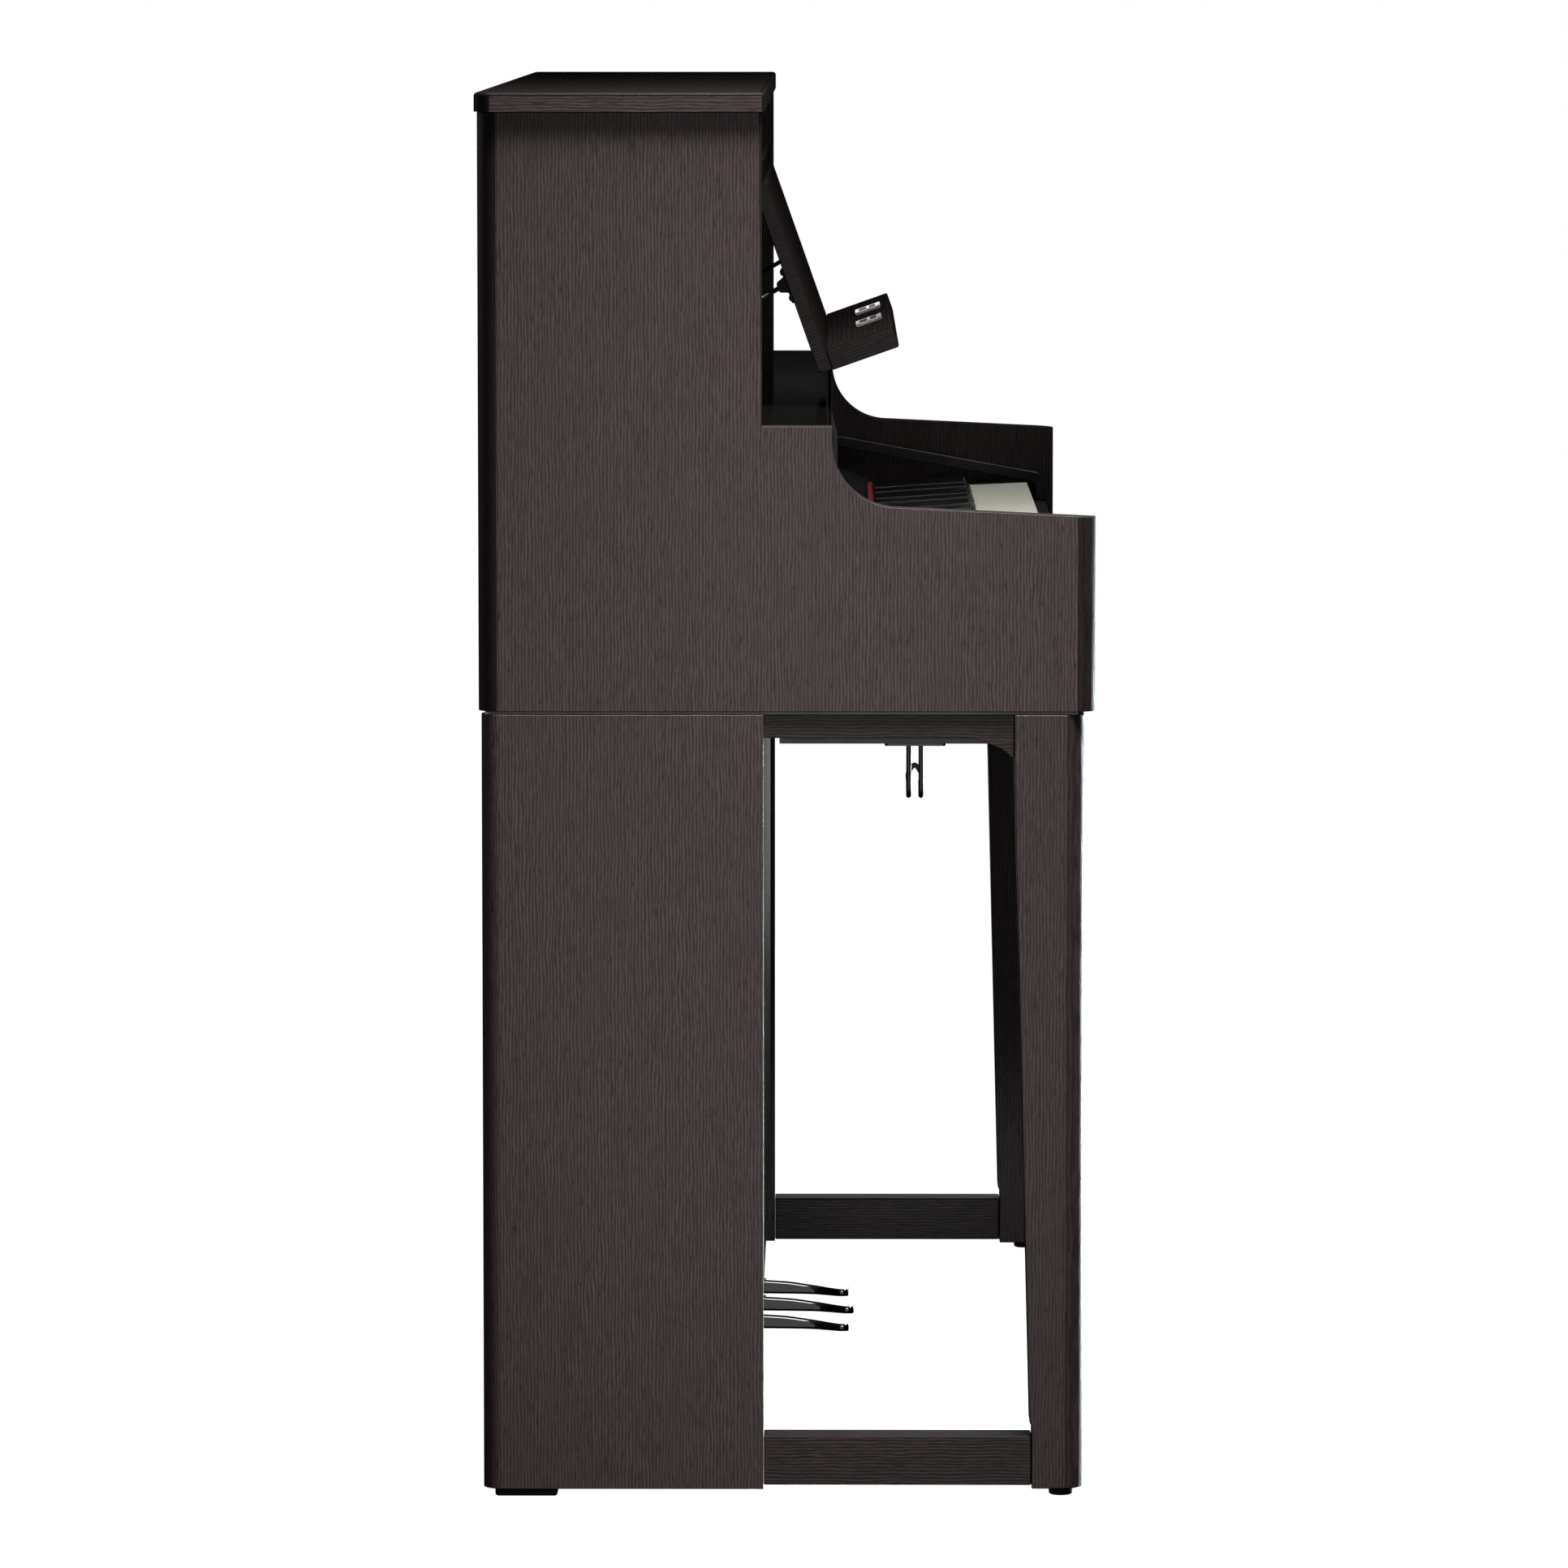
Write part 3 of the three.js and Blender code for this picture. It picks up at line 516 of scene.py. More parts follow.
# Tone 0.14: painted shade on the lid's top, front and back, the kick board, the toe board and the
# hinge batten.
WOOD_X_SHADED = veneer("veneer_lengthwise_painted_shade", "X", tone=0.14, level=0.1)
# Tone 0.48: painted shade on the apron rails under the keys.
WOOD_APRON_SHADED = veneer("veneer_apron_painted_shade", "Y", tone=0.48, contrast=1.3)
# Tone 0.08: painted shade on the shelf under the music desk.
WOOD_SHELF_SHADED = veneer("veneer_shelf_painted_shade", "Y", tone=0.08, gloss=0.09, contrast=0.5, relief=0.0005,
                    level=0.2)
WOOD_DARK = veneer("veneer_dark", "X", tone=0.5, gloss=0.36)
# Tones 0.13 and 0.16: painted shade on the desk's ends and faces, its ledge and the front board
# behind it.
DESK_END_WOOD_SHADED = veneer("veneer_desk_end_painted_shade", "Y", tone=0.13, turn=(DESK_TILT, 0, 0), contrast=2.1)
DESK_WOOD_SHADED = veneer("veneer_desk_painted_shade", "X", tone=0.16, gloss=0.7, level=0.0)
BLACK = moulded("black_moulding", (0.010, 0.010, 0.011), gloss=0.34)
TRACK = moulded("track_moulding", (0.014, 0.013, 0.014), gloss=0.38)
COVER = moulded("slot_cover_moulding", (0.10, 0.095, 0.093), gloss=0.34, spread=0.06)
RUBBER = moulded("rubber", (0.006, 0.006, 0.006), gloss=0.75, grit=500.0, depth=0.08, level=0.3)
GREY = moulded("grey_paint", (0.12, 0.122, 0.118), gloss=0.42, grit=700.0)
BOARD = moulded("black_board", (0.11, 0.107, 0.104), gloss=0.7, grit=350.0, depth=0.1)
CONE = moulded("speaker_cone", (0.012, 0.012, 0.012), gloss=0.8, grit=500.0, depth=0.08)
DARK_WIRE = metal("dark_plated_wire", (0.075, 0.08, 0.08), gloss=0.34)
BLACK_IRON = metal("black_iron", (0.02, 0.02, 0.021), gloss=0.4)
SCREW = metal("screw_steel", (0.35, 0.34, 0.33), gloss=0.3)
SILVER = metal("satin_silver", (0.84, 0.83, 0.82), gloss=0.13, brushed="X")
CHROME = metal("chrome_plate", (0.86, 0.86, 0.86), gloss=0.035, marks=0.03)
IVORY = ivory_look("ivory_key")
EBONY = moulded("ebony_key", (0.009, 0.009, 0.009), gloss=0.12, grit=1200.0, depth=0.006)
FELT = felted("red_felt", (0.24, 0.012, 0.02))
CLOTH = weave_look("speaker_cloth", (0.05, 0.05, 0.052))
CIRCUIT = board_look("circuit_board")


# ---- cabinet -----------------------------------------------------------------------------
def both_sides(name, make, look, stands_for, **options):
    """make() draws the left piece; the right one is its mirror image.

    stands_for names the CAD nodes without their side.
    """
    for side, shape in (("left", make()), ("right", mirrored(make()))):
        nodes = [f"{node}_{side}" for node in stands_for]
        piece(f"{name}_{side}", shape, look, stands_for=nodes, **options)


def upper_side():
    """A side panel with its arm and the round step."""
    arm_slope, arm_top = 0.0473, 792.8  # the arm's fall, and its level at the step's front
    step_round, front_round, rear_round = 51.5, 17, 18
    bm = prism([
        (REAR, SEAM_TOP),
        (REAR, LID_UNDER - GAP),
        (FRONT_UPPER, LID_UNDER - GAP),
        (FRONT_UPPER, STEP_TOP),
        (STEP_FRONT, STEP_TOP, 1.5),
        (STEP_FRONT, arm_top, step_round),
        (ARM_FRONT, arm_top + (ARM_FRONT - STEP_FRONT) * arm_slope),
        (ARM_FRONT, SEAM_TOP),
    ], -SIDE_OUT, -SIDE_IN, 24)
    outer = lambda c: near(c.x, -SIDE_OUT)
    rounded(bm, edges_where(bm, lambda c: outer(c) and near(c.y, ARM_FRONT)), front_round, 10)
    rounded(bm, edges_where(bm, lambda c: outer(c) and near(c.y, REAR)), rear_round, 10)
    high = lambda c: near(c.y, FRONT_UPPER) and c.z > STEP_TOP - 1
    rounded(bm, edges_where(bm, high), 2.0, 3)
    return bm


def lower_side():
    rear, rear_round = stand_high.y, 15
    bm = prism(rectangle((stand_low.y, rear), (stand_low.z, SEAM_LOW)), -SIDE_OUT, -SIDE_IN)
    rear_edge = lambda c: near(c.x, -SIDE_OUT) and near(c.y, rear)
    rounded(bm, edges_where(bm, rear_edge), rear_round, 10)
    return bm


def front_leg():
    """A leg that narrows down to a short straight foot."""
    front, rear, low = leg_low.y, leg_high.y, leg_low.z
    taper_top, foot_top, foot_rear, front_round = 588.5, 57.5, -196.6, 17
    bm = prism([
        (front, low),
        (front, SEAM_LOW),
        (rear, SEAM_LOW),
        (rear, taper_top),
        (foot_rear + 1.8, foot_top + 2),
        (foot_rear, foot_top),
        (foot_rear, low),
    ], -SIDE_OUT, -LEG_IN)
    front_edge = lambda c: near(c.x, -SIDE_OUT) and near(c.y, front)
    rounded(bm, edges_where(bm, front_edge), front_round, 10)
    return bm


def apron():
    """A rail whose underside sweeps down to the leg."""
    low, high = box_mm("apron_left")
    sweep = 16.8
    return prism([
        (high.y, low.z + sweep),
        (high.y, high.z),
        (low.y, high.z),
        (low.y, low.z),
        (low.y + 9.3, low.z + 7.9, 14),
        (low.y + 31.3, low.z + sweep, 20),
    ], low.x, high.x, 10)


def rear_foot():
    """A flat rubber pad, rounded below."""
    low, high = box_mm("rear_foot_left")
    bm = slab(rectangle((low.x, high.x), (low.y, high.y), 3), low.z, high.z)
    rounded(bm, edges_where(bm, lambda c: near(c.z, low.z)), 2.4, 4)
    return bm


def front_foot():
    """A round rubber glide, its lower rim softened."""
    low, high = box_mm("front_foot_left")
    x, y = (low.x + high.x) / 2, (low.y + high.y) / 2
    radius = (high.x - low.x) / 2
    return turned([(0, 0), (radius - 1.5, 0), (radius - 0.4, 0.5), (radius, 1.6),
                   (radius, high.z), (0, high.z)],
                  (x, y, 0), (x, y, high.z))


def cabinet():
    # Corner looks below full tone paint shade on rounded corners, arm tops and rail edges; the
    # stand panels' corner look keeps full tone.
    both_sides("upper_panel", upper_side, WOOD_Z, ["upper_side"], arris=0.5,
               corners=WOOD_CORNER_SHADED, slot="wood")
    both_sides("stand_panel", lower_side, WOOD_Z, ["lower_side"], arris=0.5,
               corners=STAND_CORNER, slot="wood")
    both_sides("leg", front_leg, WOOD_LEG, ["front_leg"], arris=0.8,
               corners=LEG_CORNER_SHADED, slot="wood")
    both_sides("apron_rail", apron, WOOD_APRON_SHADED, ["apron"], slot="dark_wood")
    both_sides("stretcher", lambda: node_block("bottom_rail_left"), WOOD_RAIL_SHADED, ["bottom_rail"],
               arris=1.0, corners=RAIL_EDGE_SHADED, slot="wood")
    both_sides("rear_pad", rear_foot, RUBBER, ["rear_foot"], arris=0, slot="rubber")
    both_sides("glide", front_foot, RUBBER, ["front_foot"], arris=0, slot="rubber")


def top_lid():
    half, front_round, rear_round = lid_high.x, 2, 15
    bm = slab([
        (-half, lid_low.y, front_round),
        (half, lid_low.y, front_round),
        (half, lid_high.y, rear_round),
        (-half, lid_high.y, rear_round),
    ], lid_low.z, lid_high.z, 10)
    rounded(bm, edges_where(bm, lambda c: near(c.z, lid_high.z)), 2.8, 5)
    # The lid's top, front and back take the darkened lengthwise copy: painted shade.
    piece("lid", bm, WOOD_X_SHADED, "top_lid", ["top_lid"], arris=0.8, ends=WOOD_Y, slot="wood")


def boards():
    low, high = box_mm("upper_front_board")
    board_front, board_rear = 50, 62
    bar_low, bar_high = 1041.7, 1057.8  # of the bar that the desk leans against
    panel = block((-INSIDE, INSIDE), (board_front, board_rear), (low.z, high.z))
    bar = prism([(low.y, bar_low, 1), (low.y, bar_high, 1.5), (board_front, bar_high),
                 (board_front, bar_low)], -DESK_HALF, DESK_HALF, 3)
    piece("music_front_board", joined(panel, bar), DESK_WOOD_SHADED, stands_for=["upper_front_board"],
          slot="wood")
    piece("kick_panel", node_block("kick_board"), WOOD_X_SHADED, stands_for=["kick_board"], slot="wood")
    low, high = box_mm("shelf")
    piece("desk_shelf", prism([(low.y, low.z, 1.5), (low.y, high.z, 5), (high.y, high.z),
                               (high.y, low.z)], low.x, high.x),
          WOOD_SHELF_SHADED, stands_for=["shelf"], slot="dark_wood")
    low, high = box_mm("key_slip")
    piece("slip", prism([(low.y, low.z, 1), (low.y, high.z, 3), (high.y, high.z, 1.5),
                         (high.y, low.z)], low.x, high.x, 5),
          WOOD_DARK, stands_for=["key_slip"], arris=0.4, slot="dark_wood")
    low, high = box_mm("keybed")
    flange_rear, flange_low = -163.8, low.z + 8.7  # its front part is shallower
    piece("keybed_pan", prism([(high.y, low.z), (high.y, high.z), (low.y, high.z),
                               (low.y, flange_low), (flange_rear, flange_low),
                               (flange_rear, low.z)], low.x, high.x),
          GREY, stands_for=["keybed"], slot="grey_steel")


# ---- name board and keyboard lid -----------------------------------------------------------
def name_board():
    low, high = box_mm("lid_slot_cover")
    face, lip_rear, face_run = -36.4, -30, 39.7  # face_run: down to where the lip starts
    piece("slot_cover", prism([
        (face, high.z),
        (face, high.z - face_run),
        (low.y, low.z, 1),
        (lip_rear, low.z + 2.4),
        (high.y, high.z - face_run + 1),
        (high.y, high.z),
    ], low.x, high.x), COVER, stands_for=["lid_slot_cover"], arris=0.5, slot="dark_wood")
    low, high = box_mm("fascia")
    flat_front, fall = -42, 10.2  # its top is flat behind that line, and falls in front of it
    piece("fascia_board", prism([(low.y, low.z), (low.y, high.z - fall, 1),
                                 (flat_front, high.z), (high.y, high.z), (high.y, low.z)],
                                low.x, high.x),
          BLACK, stands_for=["fascia"], arris=0.4, slot="black_plastic")
    piece("trim_strip", node_block("fascia_strip"), SILVER, stands_for=["fascia_strip"],
          arris=0.5, slot="bright_metal")
    low, high = box_mm("key_felt")
    piece("felt_strip", prism([(low.y, low.z), (low.y, high.z, 1.6), (high.y, high.z, 1.6),
                               (high.y, low.z)], low.x, high.x),
          FELT, stands_for=["key_felt"], arris=0.3, slot="felt")


def keyboard_lid():
    """A thin sheet on the slope it slides along, with a deep rounded lip in front."""
    low, high = box_mm("keyboard_lid")
    slope = math.radians(3.6)
    front, top, lip, wall, sheet = low.y, LIP_TOP, 24, 8, 7.1
    plane = lambda y: top + (y - front) * math.tan(slope)
    drop = sheet / math.cos(slope)
    piece("sliding_lid", prism([
        (front, top, 12),
        (front, top - lip, 2.5),
        (front + wall, top - lip, 1.5),
        (front + wall, plane(front + wall) - drop, 3),
        (high.y, plane(high.y) - drop),
        (high.y, plane(high.y)),
    ], low.x, high.x, 10), WOOD_DARK, "keyboard_lid", ["keyboard_lid"], arris=0.4,
        slot="dark_wood")


def lid_track():
    """The moulding beside the lid: a band bent down at its front."""
    low, high = box_mm("lid_track_left")
    slope, band = math.radians(10.3), 10
    drop = band / math.cos(slope)
    upper = lambda y: LIP_TOP + (y - LIP_FRONT) * math.tan(slope)
    front = low.y
    corners = [
        (front, upper(front), 12),
        (front, low.z, 1),
        (front + band, low.z, 1),
        (front + band, upper(front + band) - drop, 5),
        (high.y, upper(high.y) - drop),
        (high.y, upper(high.y)),
    ]
    return prism(corners, low.x, high.x, 12)


def cheek_block():
    """The block beside the keys, its top falling to the rear."""
    low, high = box_mm("cheek_block_left")
    fall = 3.4
    return prism([(low.y, low.z), (low.y, high.z, 2), (high.y, high.z - fall), (high.y, low.z)],
                 low.x, high.x)


# ---- keys ----------------------------------------------------------------------------------
OCTAVE = 165
PITCH = OCTAVE / 7
WHITE_KEYS = 52
KEY_SLOT = 1  # gap between two white keys
KEY_FRONT, KEY_TAIL = -219.9, 12
KEY_TOP, KEY_UNDER = 733.6, 713.6  # at a white key's front
KEY_FALL = 0.0452  # slope of the key tops towards the rear
BLACK_FRONT, BLACK_REAR, BLACK_UNDER = -167.4, -74.6, 714.5
BLACK_AFTER = {0: -2.2, 1: 2.2, 3: -3, 4: 0, 5: 3}  # shift of the black after C, D, F, G, A
FREE_FIRST, FREE_LAST = 23, 25  # the white keys C4 to E4, which move


def key_edge(i):
    """X where white key i begins, 0 being the lowest A."""
    return (i - WHITE_KEYS / 2) * PITCH


def black_centre(i):
    """X of the black key after white key i, or None."""
    shift = BLACK_AFTER.get((i + 5) % 7)
    if shift is None or not 0 <= i < WHITE_KEYS - 1:
        return None
    return key_edge(i + 1) + shift


def white_key(i):
    """One white key: notched plan, top falling to the rear, and soft edges."""
    left, right = key_edge(i) + KEY_SLOT / 2, key_edge(i + 1) - KEY_SLOT / 2
    notch, notch_end = 6.4, BLACK_FRONT - 1.1  # round a black key's middle and its front
    before, after = black_centre(i - 1), black_centre(i)
    plan = [(left, KEY_FRONT, 0.8), (right, KEY_FRONT, 0.8)]
    if after is None:
        plan.append((right, KEY_TAIL))
    else:
        plan += [(right, notch_end), (after - notch, notch_end), (after - notch, KEY_TAIL)]
    if before is None:
        plan.append((left, KEY_TAIL))
    else:
        plan += [(before + notch, KEY_TAIL), (before + notch, notch_end), (left, notch_end)]
    bm = slab(plan, KEY_UNDER, KEY_TOP, 3)
    top = [v for v in bm.verts if near(v.co.z, KEY_TOP)]
    edge = edges_where(bm, lambda c: near(c.z, KEY_TOP))
    for v in top:
        v.co.z = KEY_TOP - (v.co.y - KEY_FRONT) * KEY_FALL
    rounded(bm, edge, 0.8, 3)
    return bm


def black_key(x):
    """One black key's cap: narrower above, its front leaning back, rounded all along."""
    base, crown = 5.5, 4.6  # half widths below and above
    shoulder, top, lean, fall = 729.5, 741.9, 7, 5.8
    bm = bmesh.new()
    low = [(x - base, BLACK_FRONT), (x + base, BLACK_FRONT), (x + base, BLACK_REAR),
           (x - base, BLACK_REAR)]
    rings = [[bm.verts.new((u, v, BLACK_UNDER)) for u, v in low],
             [bm.verts.new((u, v, shoulder)) for u, v in low],
             [bm.verts.new(p) for p in (
                 (x - crown, BLACK_FRONT + lean, top), (x + crown, BLACK_FRONT + lean, top),
                 (x + crown, BLACK_REAR, top - fall), (x - crown, BLACK_REAR, top - fall))]]
    bm.faces.new(rings[0][::-1])
    bm.faces.new(rings[2])
    for a, b in zip(rings, rings[1:]):
        for k in range(4):
            bm.faces.new([a[k], a[(k + 1) % 4], b[(k + 1) % 4], b[k]])
    bmesh.ops.recalc_face_normals(bm, faces=bm.faces)
    upper = edges_where(bm, lambda c: c.z > shoulder + 1)
    rise = [e for e in bm.edges if any(near(v.co.z, shoulder) for v in e.verts)
            and any(v.co.z > shoulder + 1 for v in e.verts)]
    rounded(bm, upper + rise, 1.5, 4)
    return bm


def key_run(first, last):
    return [white_key(i) for i in range(first, last + 1)]


def black_run(first, last):
    return [black_key(black_centre(i)) for i in range(first, last + 1)
            if black_centre(i) is not None]


def keyboard():
    """88 keys: two fixed runs of each colour, and five between them that move."""
    runs = (("bass", 0, FREE_FIRST - 1), ("treble", FREE_LAST + 1, WHITE_KEYS - 1))
    for name, first, last in runs:
        piece(f"naturals_{name}", joined(*key_run(first, last)), IVORY,
              stands_for=[f"white_keys_{name}"], arris=0, slot="ivory")
        piece(f"sharps_{name}", joined(*black_run(first, last)), EBONY,
              stands_for=[f"black_keys_{name}"], arris=0, slot="ebony")
    for n, note in enumerate(("c", "d", "e")):
        node = f"key_{note}4"
        piece(f"natural_{note}4", white_key(FREE_FIRST + n), IVORY, node, [node], arris=0,
              slot="ivory")
    for n, note in enumerate(("c_sharp", "d_sharp")):
        node = f"key_{note}4"
        x = black_centre(FREE_FIRST + n)
        arm_half, arm_front, arm_top = 4.5, -80, 722.5  # its hidden arm, back to the pivot
        arm = block((x - arm_half, x + arm_half), (arm_front, KEY_TAIL), (BLACK_UNDER, arm_top))
        piece(f"sharp_{note}4", joined(black_key(x), arm), EBONY, node, [node], arris=0,
              slot="ebony")


# ---- music desk ----------------------------------------------------------------------------
def desk_point(down, out):
    """A point of the desk's own plane: down its face, and out square to it."""
    y, z = DESK_ORIGIN
    return (y - down * math.sin(DESK_TILT) - out * math.cos(DESK_TILT),
            z - down * math.cos(DESK_TILT) + out * math.sin(DESK_TILT))


def on_desk(corners, x0, x1, steps=6):
    """A prism drawn from corners (down, out, radius) in the desk's own plane."""
    return prism([(*desk_point(c[0], c[1]), *c[2:]) for c in corners], x0, x1, steps)


def desk_screw(x, down, out, radius):
    """A screw's head that faces out of the desk's back."""
    return screw_head((x, *desk_point(down, out)), (x, *desk_point(down, out - 1)), radius)


def screw_head(start, end, radius):
    """A domed head with a small driver recess, standing on start and facing end."""
    return turned([(0, -0.6), (radius, -0.6), (radius, 0.35), (radius * 0.86, 1.0),
                   (radius * 0.5, 1.35), (radius * 0.34, 1.35), (radius * 0.26, 0.7),
                   (0, 0.5)], start, end, 20)


BRACKET_X = 350
STAY_DROP, STAY_OUT = 55, -16.6  # the stay's eye, in the desk's own plane


def stay_bracket(x):
    """A plate on the desk's back, two ears for the stay's eye, and two screws."""
    back = -DESK_THICK
    high, low, proud = STAY_DROP - 14, STAY_DROP + 16, back - 1.8
    plate = on_desk([(high, back + 1), (low, back + 1), (low, proud, 0.6), (high, proud, 0.6)],
                    x - 8, x + 8, 3)
    ears = [on_desk([(STAY_DROP - 7, back - 1), (STAY_DROP + 7, back - 1),
                     (STAY_DROP + 4, back - 9, 2.5), (STAY_DROP - 4, back - 9, 2.5)],
                    x + off - 1.2, x + off + 1.2) for off in (-5.5, 5.5)]
    screws = [desk_screw(x, STAY_DROP + d, proud, 2.4) for d in (-10.5, 12)]
    return [plate, *ears, *screws]


def music_desk():
    panel = on_desk([(DESK_TOP, 0, 3), (DESK_END, 0, 2), (DESK_END, -DESK_THICK, 5),
                     (DESK_TOP, -DESK_THICK, 5)], -DESK_HALF, DESK_HALF, 8)
    piece("desk_panel", panel, DESK_WOOD_SHADED, "music_desk", ["music_desk"], arris=0.7,
          ends=DESK_END_WOOD_SHADED, slot="wood")
    ledge = on_desk([(LEDGE_DROP, GAP), (LEDGE_DROP, LEDGE_DEPTH, 1.5),
                     (LEDGE_DROP + LEDGE_THICK, LEDGE_DEPTH, 2),
                     (LEDGE_DROP + LEDGE_THICK, GAP)], -DESK_HALF, DESK_HALF, 4)
    piece("book_ledge", ledge, DESK_WOOD_SHADED, "music_desk", ["desk_ledge"], arris=0.7,
          ends=DESK_END_WOOD_SHADED, slot="wood")
    fittings = joined(*stay_bracket(-BRACKET_X), *stay_bracket(BRACKET_X))
    piece("stay_brackets", fittings, BLACK_IRON, "music_desk", arris=0.2, slot="dark_steel")


def desk_stay():
    """A wire stay: the eye in its bracket and a straight leg, dipping and splayed outwards."""
    y, z = desk_point(STAY_DROP, STAY_OUT)
    length, dip, splay = 49, math.radians(30.7), 12
    tip = (-BRACKET_X - splay, y + length * math.cos(dip), z - length * math.sin(dip))
    eye = turned([(0, 0), (2.4, 0), (2.8, 0.4), (2.8, 7.2), (2.4, 7.6), (0, 7.6)],
                 (-BRACKET_X - 3.8, y, z), (-BRACKET_X + 3.8, y, z), 24)
    return joined(eye, tube([(-BRACKET_X, y, z), tip], 2.0))


CLIP_X, CLIP_HALF = 124, 33  # a page holder's middle, and half its length
CLIP_LEFT, CLIP_RIGHT = -CLIP_X - CLIP_HALF, -CLIP_X + CLIP_HALF


def clip_bar(levels, reach, x0, x1, rounds=(0, 0)):
    """A bar between two heights above the ledge and two distances out along it."""
    under, over = (LEDGE_DROP - GAP - level for level in levels)
    return on_desk([(under, reach[0], rounds[0]), (under, reach[1], rounds[0]),
                    (over, reach[1], rounds[1]), (over, reach[0], rounds[1])], x0, x1, 3)


def page_holder():
    """A silver clip lying on the ledge: a rimmed plate with a bar down its middle."""
    plate = clip_bar((0, 1.4), (28, 51), CLIP_LEFT, CLIP_RIGHT, (1, 0.6))
    rims = [clip_bar((1.2, 2.6), reach, CLIP_LEFT, CLIP_RIGHT, (0, 0.5))
            for reach in ((28, 31.5), (38.4, 41.2), (46.5, 51))]
    stiles = [clip_bar((1.2, 2.5), (31.3, 46.7), a, b)
              for a, b in ((CLIP_LEFT + 0.2, CLIP_LEFT + 7), (CLIP_RIGHT - 7, CLIP_RIGHT - 0.2))]
    return joined(plate, *rims, *stiles)


def page_holder_shade_fill():
    """Black fill in the clip's two wells, on either side of its bar: painted shade in the
    recesses.
    """
    return joined(*[clip_bar((1.3, 2.4), reach, CLIP_LEFT + 7.2, CLIP_RIGHT - 7.2)
                    for reach in ((31.8, 38.1), (41.5, 46.2))])


def desk_fittings():
    for side in ("left", "right"):
        shapes = [make() for make in (desk_stay, page_holder, page_holder_shade_fill)]
        if side == "right":
            shapes = [mirrored(shape) for shape in shapes]
        stay, clip, well_shade = shapes
        stay_node, clip_node = f"desk_stay_{side}", f"page_holder_{side}"
        piece(f"stay_{side}", stay, DARK_WIRE, stay_node, [stay_node], arris=0,
              slot="dark_steel")
        piece(f"clip_{side}", clip, SILVER, clip_node, [clip_node], arris=0.2,
              slot="bright_metal")
        # The wells' black fill is painted shade.
        piece(f"clip_well_shade_{side}", well_shade, BLACK, clip_node, arris=0.15, slot="black_plastic")


# ---- headphone hook ------------------------------------------------------------------------
def headphone_hook():
    """A bent wire with two shanks, hung from a screwed plate under the keybed."""
    x, plate_top = -634, box_mm("headphone_hook")[1].z
    rear, front, wire = -98.2, -108, 2  # the two shanks, and the wire's radius
    bottom, lip, reach = 556.8, 580.3, 20
    curl = ((0, 0.5), (0.15, 0.13), (0.5, 0), (0.85, 0.13), (1, 0.5))
    down = [(x + reach * u, rear, bottom + reach * v) for u, v in curl]
    up = [(x + reach * u, front, bottom + reach * v) for u, v in reversed(curl)]
    crown = [(x + reach, rear, lip - 6), (x + reach, (rear + front) / 2, lip),
             (x + reach, front, lip - 6)]
    path = [(x, rear, plate_top - 1), *down, *crown, *up, (x, front, plate_top - 1)]
    wire_body = tube(smooth_path(path, 10), wire)
    plate_low, screw_x = plate_top - 1.8, x + 18
    plate = slab(rectangle((x - 8, x + 28), (-128, -79), 3), plate_low, plate_top, 5)
    screws = [screw_head((screw_x, y, plate_low), (screw_x, y, plate_low - 1), 3.4)
              for y in (-122, -85)]
    piece("hook", joined(wire_body, plate, *screws), DARK_WIRE, stands_for=["headphone_hook"],
          arris=0.2, slot="dark_steel")


# ---- pedals --------------------------------------------------------------------------------
PEDAL_PITCH = 98


def pedal_body(x, tip):
    """A cast pedal lofted from its nose to its pivot: broad short nose, slim flat-sided arm."""
    # (distance from the tip, half width, top, underside, edge radius)
    stations = [
        (0.0, 11.5, 48.0, 42.7, 1.0), (0.5, 12.6, 48.4, 42.3, 1.3), (2.2, 14.2, 48.5, 42.2, 1.6),
        (5.0, 15.0, 48.6, 42.2, 2.2), (8.5, 14.8, 48.8, 42.2, 2.2), (12.5, 13.2, 49.1, 42.3, 2.2),
        (18, 11.0, 49.6, 42.4, 2.2), (24, 8.9, 50.3, 42.6, 2.2), (30, 7.6, 51.1, 42.8, 2.2),
        (38, 7.0, 52.2, 43.0, 2.2), (46, 7.0, 53.4, 43.1, 2.2), (54, 7.0, 54.4, 43.2, 2.2),
        (64, 7.0, 55.1, 43.3, 2.2), (84, 7.0, 56.3, 43.5, 2.2), (110, 7.0, 56.5, 43.4, 2.2),
        (140, 7.0, 56.8, 43.2, 2.2), (168, 7.0, 56.9, 43.1, 2.2), (173, 6.0, 55.0, 45.0, 2.0),
    ]
    arc = 5  # segments of each rounded edge
    bm = bmesh.new()
    rings = []
    for along, half, top, under, radius in stations:
        ring = []
        for corner, (su, sw) in enumerate(((1, 1), (-1, 1), (-1, -1), (1, -1))):
            middle_w = top - radius if sw > 0 else under + radius
            for k in range(arc + 1):
                a = math.pi / 2 * (corner + k / arc)
                ring.append(bm.verts.new((x + su * (half - radius) + radius * math.cos(a),
                                          tip + along, middle_w + radius * math.sin(a))))
        rings.append(ring)
    count = len(rings[0])
    for a, b in zip(rings, rings[1:]):
        for k in range(count):
            bm.faces.new([a[k], a[(k + 1) % count], b[(k + 1) % count], b[k]])
    bm.faces.new(rings[0])
    bm.faces.new(rings[-1])
    bmesh.ops.recalc_face_normals(bm, faces=bm.faces)
    return bm


def pedals():
    for i, name in enumerate(("soft_pedal", "sostenuto_pedal", "damper_pedal")):
        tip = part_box(name)[0].y / MM
        piece(f"{name}_lever", pedal_body((i - 1) * PEDAL_PITCH, tip), CHROME, name,
              [name], arris=0, slot="chrome")


